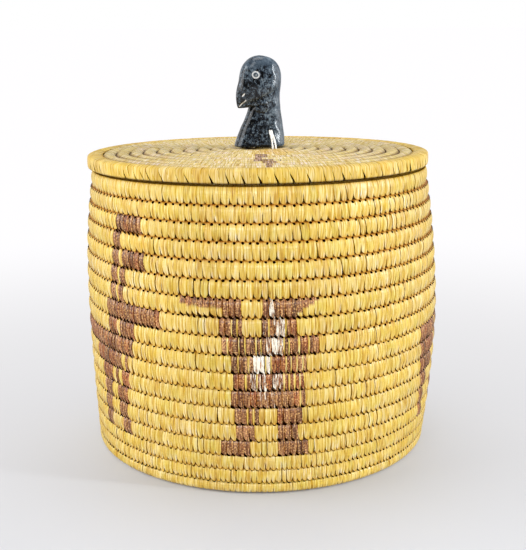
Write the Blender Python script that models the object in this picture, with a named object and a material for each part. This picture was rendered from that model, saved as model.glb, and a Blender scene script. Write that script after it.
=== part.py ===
# Lidded round basket of coiled lyme grass with a carved stone bird-head finial.
# Metres, +Z up. Origin on the centre of the flat underside; the face of the basket looks along -Y.
#
# The basket is one long coil: a bundle of grass, sewn round and round.  It is cut here into
# its separate turns (courses).  A turn runs level round the front and the sides and steps up
# by one course across the back, where it meets the turn above it end to end.

import math

import bmesh
import bpy
from mathutils import Matrix, Vector

# ------------------------------------------------------------------ driving dimensions (metres)
WALL_COURSES = 18
STATION_COURSES = 3                                                   # a height station every 3 courses
STATION_HEIGHTS = (0.0, 0.0226, 0.0502, 0.0788, 0.1079, 0.1355, 0.1612)  # top of course 0, 3, 6 ... 18
FIRST_PITCH = 0.0067                                                  # the lowest course is flatter
LAST_PITCH = 0.0088
BELLY_STEP = 0.041                                                    # height between belly stations
BELLY_RADII = (0.0979, 0.1012, 0.1027, 0.1009, 0.0958)                # outer radius up the wall
BELLY_LEAN = (-0.0012, 0.0, 0.0002, -0.0009, -0.0015)                 # sideways lean of the hand-built wall
RIM_TILT = 0.033                                                      # rim rises towards the front
RIM_ROLL = 0.006                                                      # and a little to the right
TILT_FROM = 0.095                                                     # height where that tilt begins

GAP = 0.0003                 # between neighbouring turns
STEP_ARC = 70.0 / 360.0      # half the arc, in turns, over which a turn steps up to the next
TAPER = 0.80                 # part of that arc that a tapered end keeps before it runs out
SIDES_PER_TURN = 28
SQUARE_END = 0.0015          # in turns
COARSE_TURNS = 5             # turns at the middle of the base spiral drawn with half the sides

BASE_TURNS = 11
BASE_KNOT_RADIUS = 0.0045
BASE_HEIGHT = 0.0071
BASE_INNER, BASE_OUTER = 0.0048, 0.0913   # the flat spiral of the base, from its knot to the wall

LID_X = -0.0021
LID_EDGE_RADIUS = 0.0978
LID_EDGE_HEIGHT = 0.0083
LID_EDGE_WIDTH = 0.0082
LID_TURNS = 11
LID_INNER, LID_OUTER = 0.0046, 0.0893     # the lid's spiral, from its knot to its edge course
LID_COIL_HEIGHT = 0.0074
LID_COIL_CENTRE = 0.0047     # height of the outer coil's centre over the plane the lid rests on
LID_DOME = 0.0016
LID_KNOT_RADIUS = 0.0043
FLANGE_RADIUS = 0.0800       # of the locating ring under the lid
FLANGE_THICK = 0.0080

FINIAL_FOOT = 0.0106         # height of the stone's foot over the lid's rest plane
FINIAL_YAW = math.radians(20.0)                     # the stone stands with its beak a little to the front
HOLE_X, HOLE_Z, HOLE_R = 0.0053, 0.0090, 0.0016     # drilled through the neck, side to side
THREAD_R = 0.0010
TIE_X, TIE_Y = 0.0066, 0.0102                      # where the thread passes down through the lid

# The stone, from its foot up: height, left edge, right edge, half depth, pinch of the left (beak) side.
FINIAL_SECTIONS = (
    (0.0000, -0.0135, 0.0157, 0.0086, 0.00),
    (0.0067, -0.0114, 0.0156, 0.0081, 0.00),
    (0.0147, -0.0076, 0.0145, 0.0075, 0.05),
    (0.0187, -0.0059, 0.0139, 0.0073, 0.10),
    (0.0235, -0.0046, 0.0134, 0.0074, 0.15),
    (0.0241, -0.0112, 0.0133, 0.0076, 0.72),
    (0.0267, -0.0125, 0.0132, 0.0080, 0.68),
    (0.0307, -0.0126, 0.0134, 0.0084, 0.62),
    (0.0367, -0.0110, 0.0140, 0.0088, 0.45),
    (0.0427, -0.0095, 0.0136, 0.0084, 0.25),
    (0.0477, -0.0067, 0.0110, 0.0068, 0.10),
    (0.0503, -0.0030, 0.0068, 0.0043, 0.00),
)
FINIAL_SQUARENESS = 2.8      # 2 would be an ellipse; more gives the flat cheeks and sides of the carving
FINIAL_HEIGHT = 0.0514

# ------------------------------------------------------------------ scene
for _old in list(bpy.data.objects):
    bpy.data.objects.remove(_old, do_unlink=True)


def collection(name):
    made = bpy.data.collections.new(name)
    bpy.context.scene.collection.children.link(made)
    return made


BASKET = collection("lyme_grass_basket")
CUTTERS = collection("cutters_and_guides")


def material(name, colour, roughness, metallic=0.0):
    made = bpy.data.materials.new(name)
    made.use_nodes = True
    shader = made.node_tree.nodes["Principled BSDF"]
    shader.inputs["Base Color"].default_value = (*colour, 1.0)
    shader.inputs["Roughness"].default_value = roughness
    shader.inputs["Metallic"].default_value = metallic
    return made


GRASS = material("grass_wall", (0.62, 0.42, 0.12), 0.55)
GRASS_LOW = material("grass_base", (0.55, 0.37, 0.12), 0.60)
GRASS_LID = material("grass_lid", (0.66, 0.50, 0.22), 0.55)
GRASS_FLANGE = material("grass_flange", (0.58, 0.42, 0.18), 0.60)
STONE = material("dark_stone", (0.035, 0.045, 0.055), 0.35)
THREAD = material("white_thread", (0.80, 0.80, 0.78), 0.70)


# ------------------------------------------------------------------ rules the shape follows
def smooth(t):
    t = min(1.0, max(0.0, t))
    return t * t * (3.0 - 2.0 * t)


def through(values, u, before, after):
    """Smooth curve through equally spaced values; u counts stations from 0."""
    last = len(values) - 1
    i = min(last - 1, max(0, int(math.floor(u))))
    t = u - i
    p1, p2 = values[i], values[i + 1]
    p0 = values[i - 1] if i > 0 else p2 - 2.0 * before
    p3 = values[i + 2] if i + 2 <= last else p1 + 2.0 * after
    return 0.5 * (
        2.0 * p1
        + (p2 - p0) * t
        + (2.0 * p0 - 5.0 * p1 + 4.0 * p2 - p3) * t * t
        + (3.0 * p1 - p0 - 3.0 * p2 + p3) * t * t * t
    )


def course_height(u):
    """Height of the line between course u and course u + 1, at the middle of the wall."""
    u = min(float(WALL_COURSES), max(0.0, u))
    return through(
        STATION_HEIGHTS,
        u / STATION_COURSES,
        FIRST_PITCH * STATION_COURSES,
        LAST_PITCH * STATION_COURSES,
    )


def belly(values, z):
    slope_low = values[1] - values[0]
    slope_high = values[-1] - values[-2]
    return through(values, z / BELLY_STEP, slope_low, slope_high)


def stair(v):
    """0 all through turn 1, 1 through turn 2 ..., with a smooth step of one at each whole turn."""
    n = math.floor(v + 0.5)
    return n - 1 + smooth((v - (n - STEP_ARC)) / (2.0 * STEP_ARC))


def turn_bounds(v, turns):
    """The lower and upper edge, in turns, of the coil at v turns from its start."""
    low = stair(v)
    return max(0.0, low), min(float(turns), low + 1.0)


def tilted(z, x, y):
    """A height of the upright wall, carried up or down with the slightly tilted rim."""
    share = 2.0 * smooth(0.5 * (z - TILT_FROM) / (STATION_HEIGHTS[-1] - TILT_FROM))
    return z + share * (-RIM_TILT * y + RIM_ROLL * x)


def wall_point(v):
    low, high = turn_bounds(v, WALL_COURSES)
    z_low, z_high = course_height(low), course_height(high)
    z = 0.5 * (z_low + z_high)
    angle = math.radians(90.0) + 2.0 * math.pi * v
    r = belly(BELLY_RADII, z) - 0.5 * (z_high - z_low - GAP)
    x = belly(BELLY_LEAN, z) + r * math.cos(angle)
    y = r * math.sin(angle)
    z_low = tilted(z_low, x, y) + (0.5 * GAP if low > 0.0 else 0.0)
    z_high = tilted(z_high, x, y) - 0.5 * GAP
    return (x, y, 0.5 * (z_low + z_high)), z_high - z_low


def flat_turn_point(v, turns, inner, outer, centre_x, height_of):
    """A point of a flat spiral whose turns lie side by side from inner to outer radius."""
    low, high = turn_bounds(v, turns)
    pitch = (outer - inner) / turns
    width = (high - low) * pitch - GAP
    r = inner + 0.5 * (low + high) * pitch
    angle = math.radians(90.0) + 2.0 * math.pi * v
    return (centre_x + r * math.cos(angle), r * math.sin(angle), height_of(r, width)), width


# ------------------------------------------------------------------ coil solids
def profile(name, width, height):
    """Section of a coil: six-sided, flat where it lies on its neighbours."""
    curve = bpy.data.curves.new(name, "CURVE")
    curve.dimensions = "2D"
    curve.fill_mode = "NONE"
    line = curve.splines.new("POLY")
    corners = [(0.5, 0.0), (0.27, -0.5), (-0.27, -0.5), (-0.5, 0.0), (-0.27, 0.5), (0.27, 0.5)]
    line.points.add(len(corners) - 1)
    for point, (x, y) in zip(line.points, corners):
        point.co = (x * width, y * height, 0.0, 1.0)
    line.use_cyclic_u = True
    made = bpy.data.objects.new(name, curve)
    made.hide_render = True
    made.display_type = "WIRE"
    CUTTERS.objects.link(made)
    return made


def coil(name, points, section, mat, parent=None):
    """A tube along points of (place, section size)."""
    curve = bpy.data.curves.new(name, "CURVE")
    curve.dimensions = "3D"
    curve.twist_mode = "Z_UP"
    curve.bevel_mode = "OBJECT"
    curve.bevel_object = section
    curve.use_fill_caps = True
    line = curve.splines.new("POLY")
    line.points.add(len(points) - 1)
    for point, (place, size) in zip(line.points, points):
        point.co = (*place, 1.0)
        point.radius = size
    made = bpy.data.objects.new(name, curve)
    curve.materials.append(mat)
    BASKET.objects.link(made)
    if parent:
        made.parent = parent
    return made


def stations(start, end, square_start=False, square_end=False, coarse_turns=0):
    """Angles, in turns, at whole sides between start and end, and the two ends themselves.
    A short first or last stretch turns that end face square to the wall, and the small
    turns at the middle of the base spiral have half as many sides."""
    first = math.ceil(start * SIDES_PER_TURN + 0.2)
    last = math.floor(end * SIDES_PER_TURN - 0.2)
    sides = [i for i in range(first, last + 1) if i >= coarse_turns * SIDES_PER_TURN or i % 2 == 0]
    return (
        [start]
        + ([start + SQUARE_END] if square_start else [])
        + [i / SIDES_PER_TURN for i in sides]
        + ([end - SQUARE_END] if square_end else [])
        + [end]
    )


ROUND_SECTION = profile("coil_section", 1.0, 1.0)
BASE_SECTION = profile("base_section", 1.0, BASE_HEIGHT / ((BASE_OUTER - BASE_INNER) / BASE_TURNS - GAP))
LID_SECTION = profile("lid_section", 1.0, LID_COIL_HEIGHT / ((LID_OUTER - LID_INNER) / LID_TURNS - GAP))
EDGE_SECTION = profile("edge_section", LID_EDGE_WIDTH, LID_EDGE_HEIGHT)
FLANGE_SECTION = profile("flange_section", FLANGE_THICK, FLANGE_THICK)

# Walls: one node a course, numbered from the floor up.
for k in range(1, WALL_COURSES + 1):
    middle = 2.0 * math.pi * 0.095
    start = (k - 1) + 0.5 * GAP / middle
    end = k - 0.5 * GAP / middle
    if k == 1:
        start = -TAPER * STEP_ARC
    if k == WALL_COURSES:
        end = WALL_COURSES + TAPER * STEP_ARC
    coil(
        f"wall_course_{k:02d}",
        [wall_point(v) for v in stations(start, end, k > 1, k < WALL_COURSES)],
        ROUND_SECTION,
        GRASS if k > 1 else GRASS_LOW,
    )

# Base: a flat spiral inside the first course.
BASE_X = BELLY_LEAN[0]


def base_height(r, width):
    return 0.5 * BASE_HEIGHT * width / ((BASE_OUTER - BASE_INNER) / BASE_TURNS - GAP)


coil(
    "base_coil",
    [
        flat_turn_point(v, BASE_TURNS, BASE_INNER, BASE_OUTER, BASE_X, base_height)
        for v in stations(-TAPER * STEP_ARC, BASE_TURNS + TAPER * STEP_ARC, coarse_turns=COARSE_TURNS)
    ],
    BASE_SECTION,
    GRASS_LOW,
)


def knot(name, radius, half_height, place, mat, parent=None):
    mesh = bpy.data.meshes.new(name)
    bm = bmesh.new()
    bmesh.ops.create_uvsphere(bm, u_segments=12, v_segments=8, radius=1.0)
    bmesh.ops.scale(bm, vec=(radius, radius, half_height), verts=bm.verts)
    bm.to_mesh(mesh)
    bm.free()
    mesh.shade_smooth()
    mesh.materials.append(mat)
    made = bpy.data.objects.new(name, mesh)
    made.location = place
    BASKET.objects.link(made)
    if parent:
        made.parent = parent
    return made


knot("base_start_knot", BASE_KNOT_RADIUS, 0.5 * BASE_HEIGHT, (BASE_X, 0.0, 0.5 * BASE_HEIGHT), GRASS_LOW)

# ------------------------------------------------------------------ lid, in its own tilted frame
lid_frame = bpy.data.objects.new("lid_frame", None)
lid_frame.location = (LID_X, 0.0, STATION_HEIGHTS[-1] + RIM_ROLL * LID_X + GAP)
lid_frame.rotation_euler = (-math.atan(RIM_TILT), -math.atan(RIM_ROLL), 0.0)
BASKET.objects.link(lid_frame)
finial_frame = bpy.data.objects.new("finial_frame", None)
finial_frame.rotation_euler = (0.0, 0.0, FINIAL_YAW)
finial_frame.parent = lid_frame
BASKET.objects.link(finial_frame)


def lid_height(r, width):
    return LID_COIL_CENTRE + LID_DOME * (1.0 - (r / LID_OUTER) ** 2)


lid_path = [
    flat_turn_point(v, LID_TURNS, LID_INNER, LID_OUTER, 0.0, lid_height)
    for v in stations(-TAPER * STEP_ARC, LID_TURNS + TAPER * STEP_ARC)
]


def ring(name, radius, height, section, mat):
    cut = 0.5 * GAP / (2.0 * math.pi * radius)
    points = []
    for v in stations(cut, 1.0 - cut, True, True):
        angle = math.radians(90.0) + 2.0 * math.pi * v
        points.append(((radius * math.cos(angle), radius * math.sin(angle), height), 1.0))
    return coil(name, points, section, mat, lid_frame)


ring("lid_edge_course", LID_EDGE_RADIUS - 0.5 * LID_EDGE_WIDTH, 0.5 * LID_EDGE_HEIGHT, EDGE_SECTION, GRASS_LID)
flange_top = lid_height(FLANGE_RADIUS, 0.0) - 0.5 * LID_COIL_HEIGHT - GAP
ring("lid_flange_course_1", FLANGE_RADIUS, flange_top - 0.5 * FLANGE_THICK, FLANGE_SECTION, GRASS_FLANGE)
ring("lid_flange_course_2", FLANGE_RADIUS, flange_top - 1.5 * FLANGE_THICK - GAP, FLANGE_SECTION, GRASS_FLANGE)
knot("lid_start_knot", LID_KNOT_RADIUS, 0.5 * LID_COIL_HEIGHT, (0.0, 0.0, lid_height(0.0, 0.0)), GRASS_LID, lid_frame)


def rod(name, radius, length, place, along_y=False, sides=12):
    """A cutter for a drilled or awled hole."""
    mesh = bpy.data.meshes.new(name)
    bm = bmesh.new()
    bmesh.ops.create_cone(
        bm, cap_ends=True, segments=sides, radius1=radius, radius2=radius, depth=length
    )
    if along_y:
        bmesh.ops.rotate(bm, matrix=Matrix.Rotation(math.radians(90.0), 3, "X"), verts=bm.verts)
    bm.to_mesh(mesh)
    bm.free()
    made = bpy.data.objects.new(name, mesh)
    made.location = place
    made.parent = finial_frame
    made.hide_render = True
    made.display_type = "WIRE"
    CUTTERS.objects.link(made)
    return made


def cut(target, cutter):
    step = target.modifiers.new(cutter.name, "BOOLEAN")
    step.operation = "DIFFERENCE"
    step.object = cutter


def as_mesh(curve_object):
    """The curve's solid as a mesh object of the same name, with its caps welded on."""
    bpy.context.view_layer.update()
    graph = bpy.context.evaluated_depsgraph_get()
    name = curve_object.name
    mesh = bpy.data.meshes.new_from_object(curve_object.evaluated_get(graph))
    bm = bmesh.new()
    bm.from_mesh(mesh)
    bmesh.ops.remove_doubles(bm, verts=bm.verts, dist=1e-6)
    bm.to_mesh(mesh)
    bm.free()
    place = curve_object.matrix_world.copy()
    parent = curve_object.parent
    bpy.data.objects.remove(curve_object, do_unlink=True)
    made = bpy.data.objects.new(name, mesh)
    BASKET.objects.link(made)
    if parent:
        made.parent = parent
    made.matrix_world = place
    return made


lid_coil = as_mesh(coil("lid_coil", lid_path, LID_SECTION, GRASS_LID, lid_frame))
cut(lid_coil, rod("tie_hole_front", 0.0017, 0.02, (TIE_X, -TIE_Y, 0.006)))
cut(lid_coil, rod("tie_hole_back", 0.0017, 0.02, (TIE_X, TIE_Y, 0.006)))

# ------------------------------------------------------------------ finial
def finial():
    """The carved stone: a loft of egg-shaped level sections, pinched towards the beak."""
    around = 20
    bm = bmesh.new()
    rings = []
    for z, left, right, depth, pinch in FINIAL_SECTIONS:
        middle, half = 0.5 * (left + right), 0.5 * (right - left)
        row = []
        for i in range(around):
            a = 2.0 * math.pi * i / around
            c, s = math.cos(a), math.sin(a)
            c = math.copysign(abs(c) ** (2.0 / FINIAL_SQUARENESS), c)
            s = math.copysign(abs(s) ** (2.0 / FINIAL_SQUARENESS), s)
            y = depth * s * (1.0 - pinch * max(0.0, -c) ** 1.2)
            row.append(bm.verts.new((middle + half * c, y, z)))
        rings.append(row)
    for low, high in zip(rings, rings[1:]):
        for i in range(around):
            j = (i + 1) % around
            bm.faces.new((low[i], low[j], high[j], high[i]))
    bm.faces.new(list(reversed(rings[0])))
    top = bm.verts.new((0.5 * (FINIAL_SECTIONS[-1][1] + FINIAL_SECTIONS[-1][2]), 0.0, FINIAL_HEIGHT))
    for i in range(around):
        bm.faces.new((rings[-1][i], rings[-1][(i + 1) % around], top))
    bmesh.ops.recalc_face_normals(bm, faces=bm.faces)
    mesh = bpy.data.meshes.new("finial_bird_head")
    bm.to_mesh(mesh)
    bm.free()
    mesh.shade_smooth()
    mesh.set_sharp_from_angle(angle=math.radians(50.0))
    mesh.materials.append(STONE)
    made = bpy.data.objects.new("finial_bird_head", mesh)
    made.location = (0.0, 0.0, FINIAL_FOOT)
    made.parent = finial_frame
    BASKET.objects.link(made)
    return made


stone = finial()
cut(stone, rod("neck_hole", HOLE_R, 0.04, (HOLE_X, 0.0, FINIAL_FOOT + HOLE_Z), along_y=True))

# ------------------------------------------------------------------ thread that ties the stone to the lid
KNOT_Z = -0.0001
KNOT_R = 0.0021


def half_tie(side):
    """From the knot under the lid, up through it, along the stone and into the drilled hole."""
    up = FINIAL_FOOT + HOLE_Z
    bend = 0.0018
    mouth = 0.0074
    points = [Vector((TIE_X, side * (KNOT_R + 0.0004), KNOT_Z))]
    points.append(Vector((TIE_X, side * (TIE_Y - 0.0020), KNOT_Z)))
    for i in range(1, 4):
        a = math.radians(90.0) * i / 3.0
        points.append(
            Vector((TIE_X, side * (TIE_Y - 0.0020 + 0.0020 * math.sin(a)), KNOT_Z + 0.0020 * (1.0 - math.cos(a))))
        )
    points.append(Vector((TIE_X, side * TIE_Y, FINIAL_FOOT - 0.0004)))
    points.append(Vector((0.5 * (TIE_X + HOLE_X), side * (mouth + bend + 0.0006), FINIAL_FOOT + 0.0052)))
    for i in range(4):
        a = math.radians(90.0) * i / 3.0
        points.append(
            Vector((HOLE_X, side * (mouth + bend * math.cos(a)), up - bend + bend * math.sin(a)))
        )
    return points


front = half_tie(-1.0)
back = half_tie(1.0)
thread_curve = bpy.data.curves.new("finial_tie_thread", "CURVE")
thread_curve.dimensions = "3D"
thread_curve.bevel_depth = THREAD_R
thread_curve.bevel_resolution = 1
thread_curve.use_fill_caps = True
thread_line = thread_curve.splines.new("POLY")
thread_points = front + list(reversed(back))
thread_line.points.add(len(thread_points) - 1)
for point, place in zip(thread_line.points, thread_points):
    point.co = (*place, 1.0)
thread_curve.materials.append(THREAD)
thread = bpy.data.objects.new("finial_tie_thread", thread_curve)
thread.parent = finial_frame
BASKET.objects.link(thread)

knot("finial_tie_knot", KNOT_R, KNOT_R, (TIE_X, 0.0, KNOT_Z), THREAD, finial_frame)
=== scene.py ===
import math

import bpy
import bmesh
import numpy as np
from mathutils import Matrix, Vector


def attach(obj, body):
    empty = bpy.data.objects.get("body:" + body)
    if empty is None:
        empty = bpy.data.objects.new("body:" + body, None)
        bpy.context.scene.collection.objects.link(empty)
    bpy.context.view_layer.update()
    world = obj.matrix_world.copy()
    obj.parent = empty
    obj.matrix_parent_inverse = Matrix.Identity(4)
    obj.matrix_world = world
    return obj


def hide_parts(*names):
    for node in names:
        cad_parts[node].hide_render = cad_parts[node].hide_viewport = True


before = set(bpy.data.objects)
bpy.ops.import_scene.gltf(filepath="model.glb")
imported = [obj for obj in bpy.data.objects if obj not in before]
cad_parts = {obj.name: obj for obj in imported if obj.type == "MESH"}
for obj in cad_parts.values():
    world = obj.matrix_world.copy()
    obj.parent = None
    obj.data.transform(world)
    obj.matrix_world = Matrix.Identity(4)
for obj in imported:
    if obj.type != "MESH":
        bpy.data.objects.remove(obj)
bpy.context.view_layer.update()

# The looks of a lidded round basket of coiled, sewn lyme grass with a carved stone finial.
# Every stitch is its own flat strand of grass.  It comes up out of the turn before, passes
# over the whole coil and goes back down on the other side into the turn before, where its tip
# narrows to a tongue and enters through a small hole, drawn as a dark patch of painted shade, so
# the grooves hold the double row of small dark holes that such sewing has.  Metres throughout.

# ------------------------------------------------------------------ the same rules as the CAD model
WALL_COURSES = 18
STATION_COURSES = 3
STATION_HEIGHTS = np.array([0.0, 0.0226, 0.0502, 0.0788, 0.1079, 0.1355, 0.1612])
FIRST_PITCH, LAST_PITCH = 0.0067, 0.0088
BELLY_STEP = 0.041
BELLY_RADII = np.array([0.0979, 0.1012, 0.1027, 0.1009, 0.0958])
BELLY_LEAN = np.array([-0.0012, 0.0, 0.0002, -0.0009, -0.0015])
RIM_TILT, RIM_ROLL, TILT_FROM = 0.033, 0.006, 0.095
STEP_ARC, TAPER = 70.0 / 360.0, 0.80
BASE_TURNS, BASE_INNER, BASE_OUTER, BASE_HEIGHT = 11, 0.0048, 0.0913, 0.0071
BASE_KNOT_RADIUS = 0.0045
LID_X = -0.0021
LID_EDGE_RADIUS, LID_EDGE_HEIGHT, LID_EDGE_WIDTH = 0.0978, 0.0083, 0.0082
LID_TURNS, LID_INNER, LID_OUTER = 11, 0.0046, 0.0893
LID_COIL_HEIGHT, LID_COIL_CENTRE, LID_DOME = 0.0074, 0.0047, 0.0016
LID_KNOT_RADIUS = 0.0043
FLANGE_RADIUS, FLANGE_THICK = 0.0800, 0.0080
GAP = 0.0003
FINIAL_FOOT, FINIAL_YAW = 0.0106, math.radians(20.0)
HOLE_X, HOLE_Z, HOLE_R = 0.0053, 0.0090, 0.0016
TIE_X, TIE_Y = 0.0066, 0.0102
KNOT_Z, KNOT_R = -0.0001, 0.0021


def smooth(t):
    t = np.clip(t, 0.0, 1.0)
    return t * t * (3.0 - 2.0 * t)


def through(values, u, before, after):
    last = len(values) - 1
    i = np.clip(np.floor(u).astype(int), 0, last - 1)
    t = u - i
    p1, p2 = values[i], values[i + 1]
    p0 = np.where(i > 0, values[np.maximum(i - 1, 0)], p2 - 2.0 * before)
    p3 = np.where(i + 2 <= last, values[np.minimum(i + 2, last)], p1 + 2.0 * after)
    return 0.5 * (2.0 * p1 + (p2 - p0) * t + (2.0 * p0 - 5.0 * p1 + 4.0 * p2 - p3) * t ** 2
                  + (3.0 * p1 - p0 - 3.0 * p2 + p3) * t ** 3)


def course_height(u):
    u = np.clip(u, 0.0, float(WALL_COURSES))
    return through(STATION_HEIGHTS, u / STATION_COURSES, FIRST_PITCH * STATION_COURSES, LAST_PITCH * STATION_COURSES)


def belly(values, z):
    return through(values, z / BELLY_STEP, values[1] - values[0], values[-1] - values[-2])


def stair(v):
    n = np.floor(v + 0.5)
    return n - 1 + smooth((v - (n - STEP_ARC)) / (2.0 * STEP_ARC))


def turn_bounds(v, turns):
    low = stair(v)
    return np.maximum(0.0, low), np.minimum(float(turns), low + 1.0)


def tilted(z, x, y):
    share = 2.0 * smooth(0.5 * (z - TILT_FROM) / (STATION_HEIGHTS[-1] - TILT_FROM))
    return z + share * (-RIM_TILT * y + RIM_ROLL * x)


def stack(*columns):
    return np.stack(np.broadcast_arrays(*columns), -1)


def wall_frame(v):
    """Centre of the coil, its outward and growth directions, and its two half sizes."""
    low, high = turn_bounds(v, WALL_COURSES)
    z_low, z_high = course_height(low), course_height(high)
    z = 0.5 * (z_low + z_high)
    angle = 0.5 * math.pi + 2.0 * math.pi * v
    r = belly(BELLY_RADII, z) - 0.5 * (z_high - z_low)
    c, s = np.cos(angle), np.sin(angle)
    x, y = belly(BELLY_LEAN, z) + r * c, r * s
    z_low, z_high = tilted(z_low, x, y), tilted(z_high, x, y)
    half = 0.5 * (z_high - z_low)
    zero = np.zeros_like(v)
    return stack(x, y, 0.5 * (z_low + z_high)), stack(c, s, zero), stack(zero, zero, zero + 1.0), half, half, r


def spiral_frame(turns, inner, outer, centre_x, height, centre_height, up):
    """The same for a flat spiral, whose turns grow outwards; up is +1 where the face looked at is on top."""
    def made(v):
        low, high = turn_bounds(v, turns)
        pitch = (outer - inner) / turns
        width = (high - low) * pitch
        r = inner + 0.5 * (low + high) * pitch
        angle = 0.5 * math.pi + 2.0 * math.pi * v
        c, s = np.cos(angle), np.sin(angle)
        share = width / pitch
        zero = np.zeros_like(v)
        z = centre_height(r, share)
        return (stack(centre_x + r * c, r * s, z), stack(zero, zero, zero + up), stack(c, s, zero),
                0.5 * height * share, 0.5 * width, r)
    return made


def lid_height(r, share=1.0):
    return LID_COIL_CENTRE + LID_DOME * (1.0 - (r / LID_OUTER) ** 2)


base_frame = spiral_frame(BASE_TURNS, BASE_INNER, BASE_OUTER, BELLY_LEAN[0], BASE_HEIGHT,
                          lambda r, share: 0.5 * BASE_HEIGHT * share, -1.0)
lid_coil_frame = spiral_frame(LID_TURNS, LID_INNER, LID_OUTER, 0.0, LID_COIL_HEIGHT,
                              lambda r, share: lid_height(r), 1.0)


def ring_frame(radius, z, half_face, half_growth, face, growth):
    """A closed ring; face and growth are (radial, up) pairs."""
    def made(v):
        angle = 0.5 * math.pi + 2.0 * math.pi * v
        c, s = np.cos(angle), np.sin(angle)
        one = np.ones_like(v)
        return (stack(radius * c, radius * s, z * one),
                stack(face[0] * c, face[0] * s, face[1] * one),
                stack(growth[0] * c, growth[0] * s, growth[1] * one),
                half_face * one, half_growth * one, radius * one)
    return made


LID_MATRIX = (Matrix.Translation((LID_X, 0.0, STATION_HEIGHTS[-1] + RIM_ROLL * LID_X + GAP))
              @ Matrix.Rotation(-math.atan(RIM_ROLL), 4, "Y") @ Matrix.Rotation(-math.atan(RIM_TILT), 4, "X"))
STONE_MATRIX = LID_MATRIX @ Matrix.Rotation(FINIAL_YAW, 4, "Z")


# ------------------------------------------------------------------ colours
def lin(r, g, b):
    c = np.array([r, g, b], float) / 255.0
    return np.where(c <= 0.04045, c / 12.92, ((c + 0.055) / 1.055) ** 2.4)


GOLD, STRAW, PALE = lin(212, 175, 68), lin(222, 189, 87), lin(232, 203, 116)
OCHRE, OLIVE = lin(212, 164, 62), lin(204, 183, 71)
LID_STRAW, LID_PALE, LID_GREY, LID_ROSE = lin(210, 188, 118), lin(220, 201, 142), lin(200, 180, 120), lin(212, 184, 132)
DYED, DYED_RED, DYED_DARK = lin(148, 94, 50), lin(153, 83, 36), lin(118, 71, 35)
CREAM = lin(246, 240, 222)
SHADOW = lin(34, 14, 3)
SHADED_CORE = lin(70, 34, 8)

# ------------------------------------------------------------------ the dyed figures
# Spans of dyed strands, in degrees from the middle of each figure, by course from the floor.
# They are stepped block figures of the traditional kind: a body, arms, two legs.
# Third number: which part of the strand is dyed (1 all of it, 0.5 its upper half, -1 a wedge
# that runs out to the right).
FIGURE_ARMS_OUT = {
    12: [(-26.0, -13.0, 0.5), (-13.0, -7.5, 1), (-1.5, 8.3, 1), (8.3, 15.0, -1)],
    11: [(-14.2, -7.5, 1), (-1.9, 8.1, 1)],
    10: [(-13.6, 14.6, 1)],
    9: [(-10.9, 10.8, 1)],
    8: [(-10.4, 10.1, 1)],
    7: [(-11.1, 10.7, 1)],
    6: [(-10.1, -2.9, 1), (2.4, 9.9, 1)],
    5: [(-9.7, -4.1, 1), (2.7, 8.8, 1)],
    4: [(-14.3, -5.3, 1), (3.0, 12.2, 1)],
}
FIGURE_TALL = {
    16: [(3.2, 14.8, 1)],
    15: [(1.8, 5.7, 1)],
    14: [(1.8, 5.1, 1), (6.7, 16.4, 1)],
    13: [(0.9, 4.3, 1), (5.4, 8.1, 1)],
    12: [(0.4, 3.3, 1), (4.4, 7.0, 1)],
    11: [(-2.5, 21.7, 1)],
    10: [(-1.9, 11.4, 1)],
    9: [(-28.1, 10.3, 1)],
    8: [(-12.0, 7.7, 1)],
    7: [(-8.1, -1.3, 1), (0.6, 7.8, 1)],
    6: [(-7.7, -2.3, 1), (1.0, 6.6, 1)],
    5: [(-8.1, -3.3, 1), (1.3, 5.8, 1)],
    4: [(-7.8, -3.8, 1), (2.8, 7.1, 1)],
}
FIGURE_WIDE = {
    12: [(12.0, 18.0, 1)],
    11: [(11.0, 17.0, 1)],
    10: [(6.0, 26.0, 1)],
    9: [(-14.5, 20.0, 1)],
    8: [(-13.5, 12.0, 1)],
    7: [(-13.0, -1.0, 1), (10.0, 14.0, 1)],
    6: [(-11.6, -6.3, 1), (5.4, 12.0, 1)],
    5: [(-11.7, -7.7, 1), (1.5, 8.5, 1)],
    4: [(-10.8, -7.1, 1), (4.0, 9.0, 1)],
}
# middle of the figure round the wall, its spans, and whether it is the worn one in front
FIGURES = [(1.8, FIGURE_ARMS_OUT, True), (-53.0, FIGURE_TALL, False), (73.0, FIGURE_WIDE, False),
           (-122.0, FIGURE_ARMS_OUT, False), (139.0, FIGURE_TALL, False)]
# In front, undyed strands lie between the dyed ones on the chest: course -> share
BETWEEN = {12: 0.15, 11: 0.42, 10: 0.66, 9: 0.55, 8: 0.48, 7: 0.30, 6: 0.15}
# and worn strands are bleached almost white: course -> spans of (from, to, share of strands, how far)
WORN = {12: [(-1.5, 3.4, 0.75, 0.80)],
        11: [(-1.9, -0.4, 0.6, 0.45), (1.6, 4.6, 0.8, 0.70)],
        10: [(-5.4, -3.0, 0.7, 0.75), (-1.6, 0.4, 0.6, 0.60), (0.8, 3.8, 0.9, 0.77), (3.8, 7.0, 0.4, 0.4)],
        9: [(-6.2, -4.6, 0.5, 0.45), (-4.6, 0.6, 1.0, 0.86), (0.6, 4.0, 0.7, 0.62)],
        8: [(-5.6, 3.6, 0.75, 0.66)],
        7: [(-4.0, 1.5, 0.45, 0.48)]}
# Stretches where the strands have slipped apart: (course, from, to) in degrees round the wall.
SLIPPED = [(13, -19.0, -8.0), (17, 36.0, 60.0), (16, 40.0, 70.0), (9, 30.0, 37.0)]


def wrapped(a):
    return (a + 180.0) % 360.0 - 180.0


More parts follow.
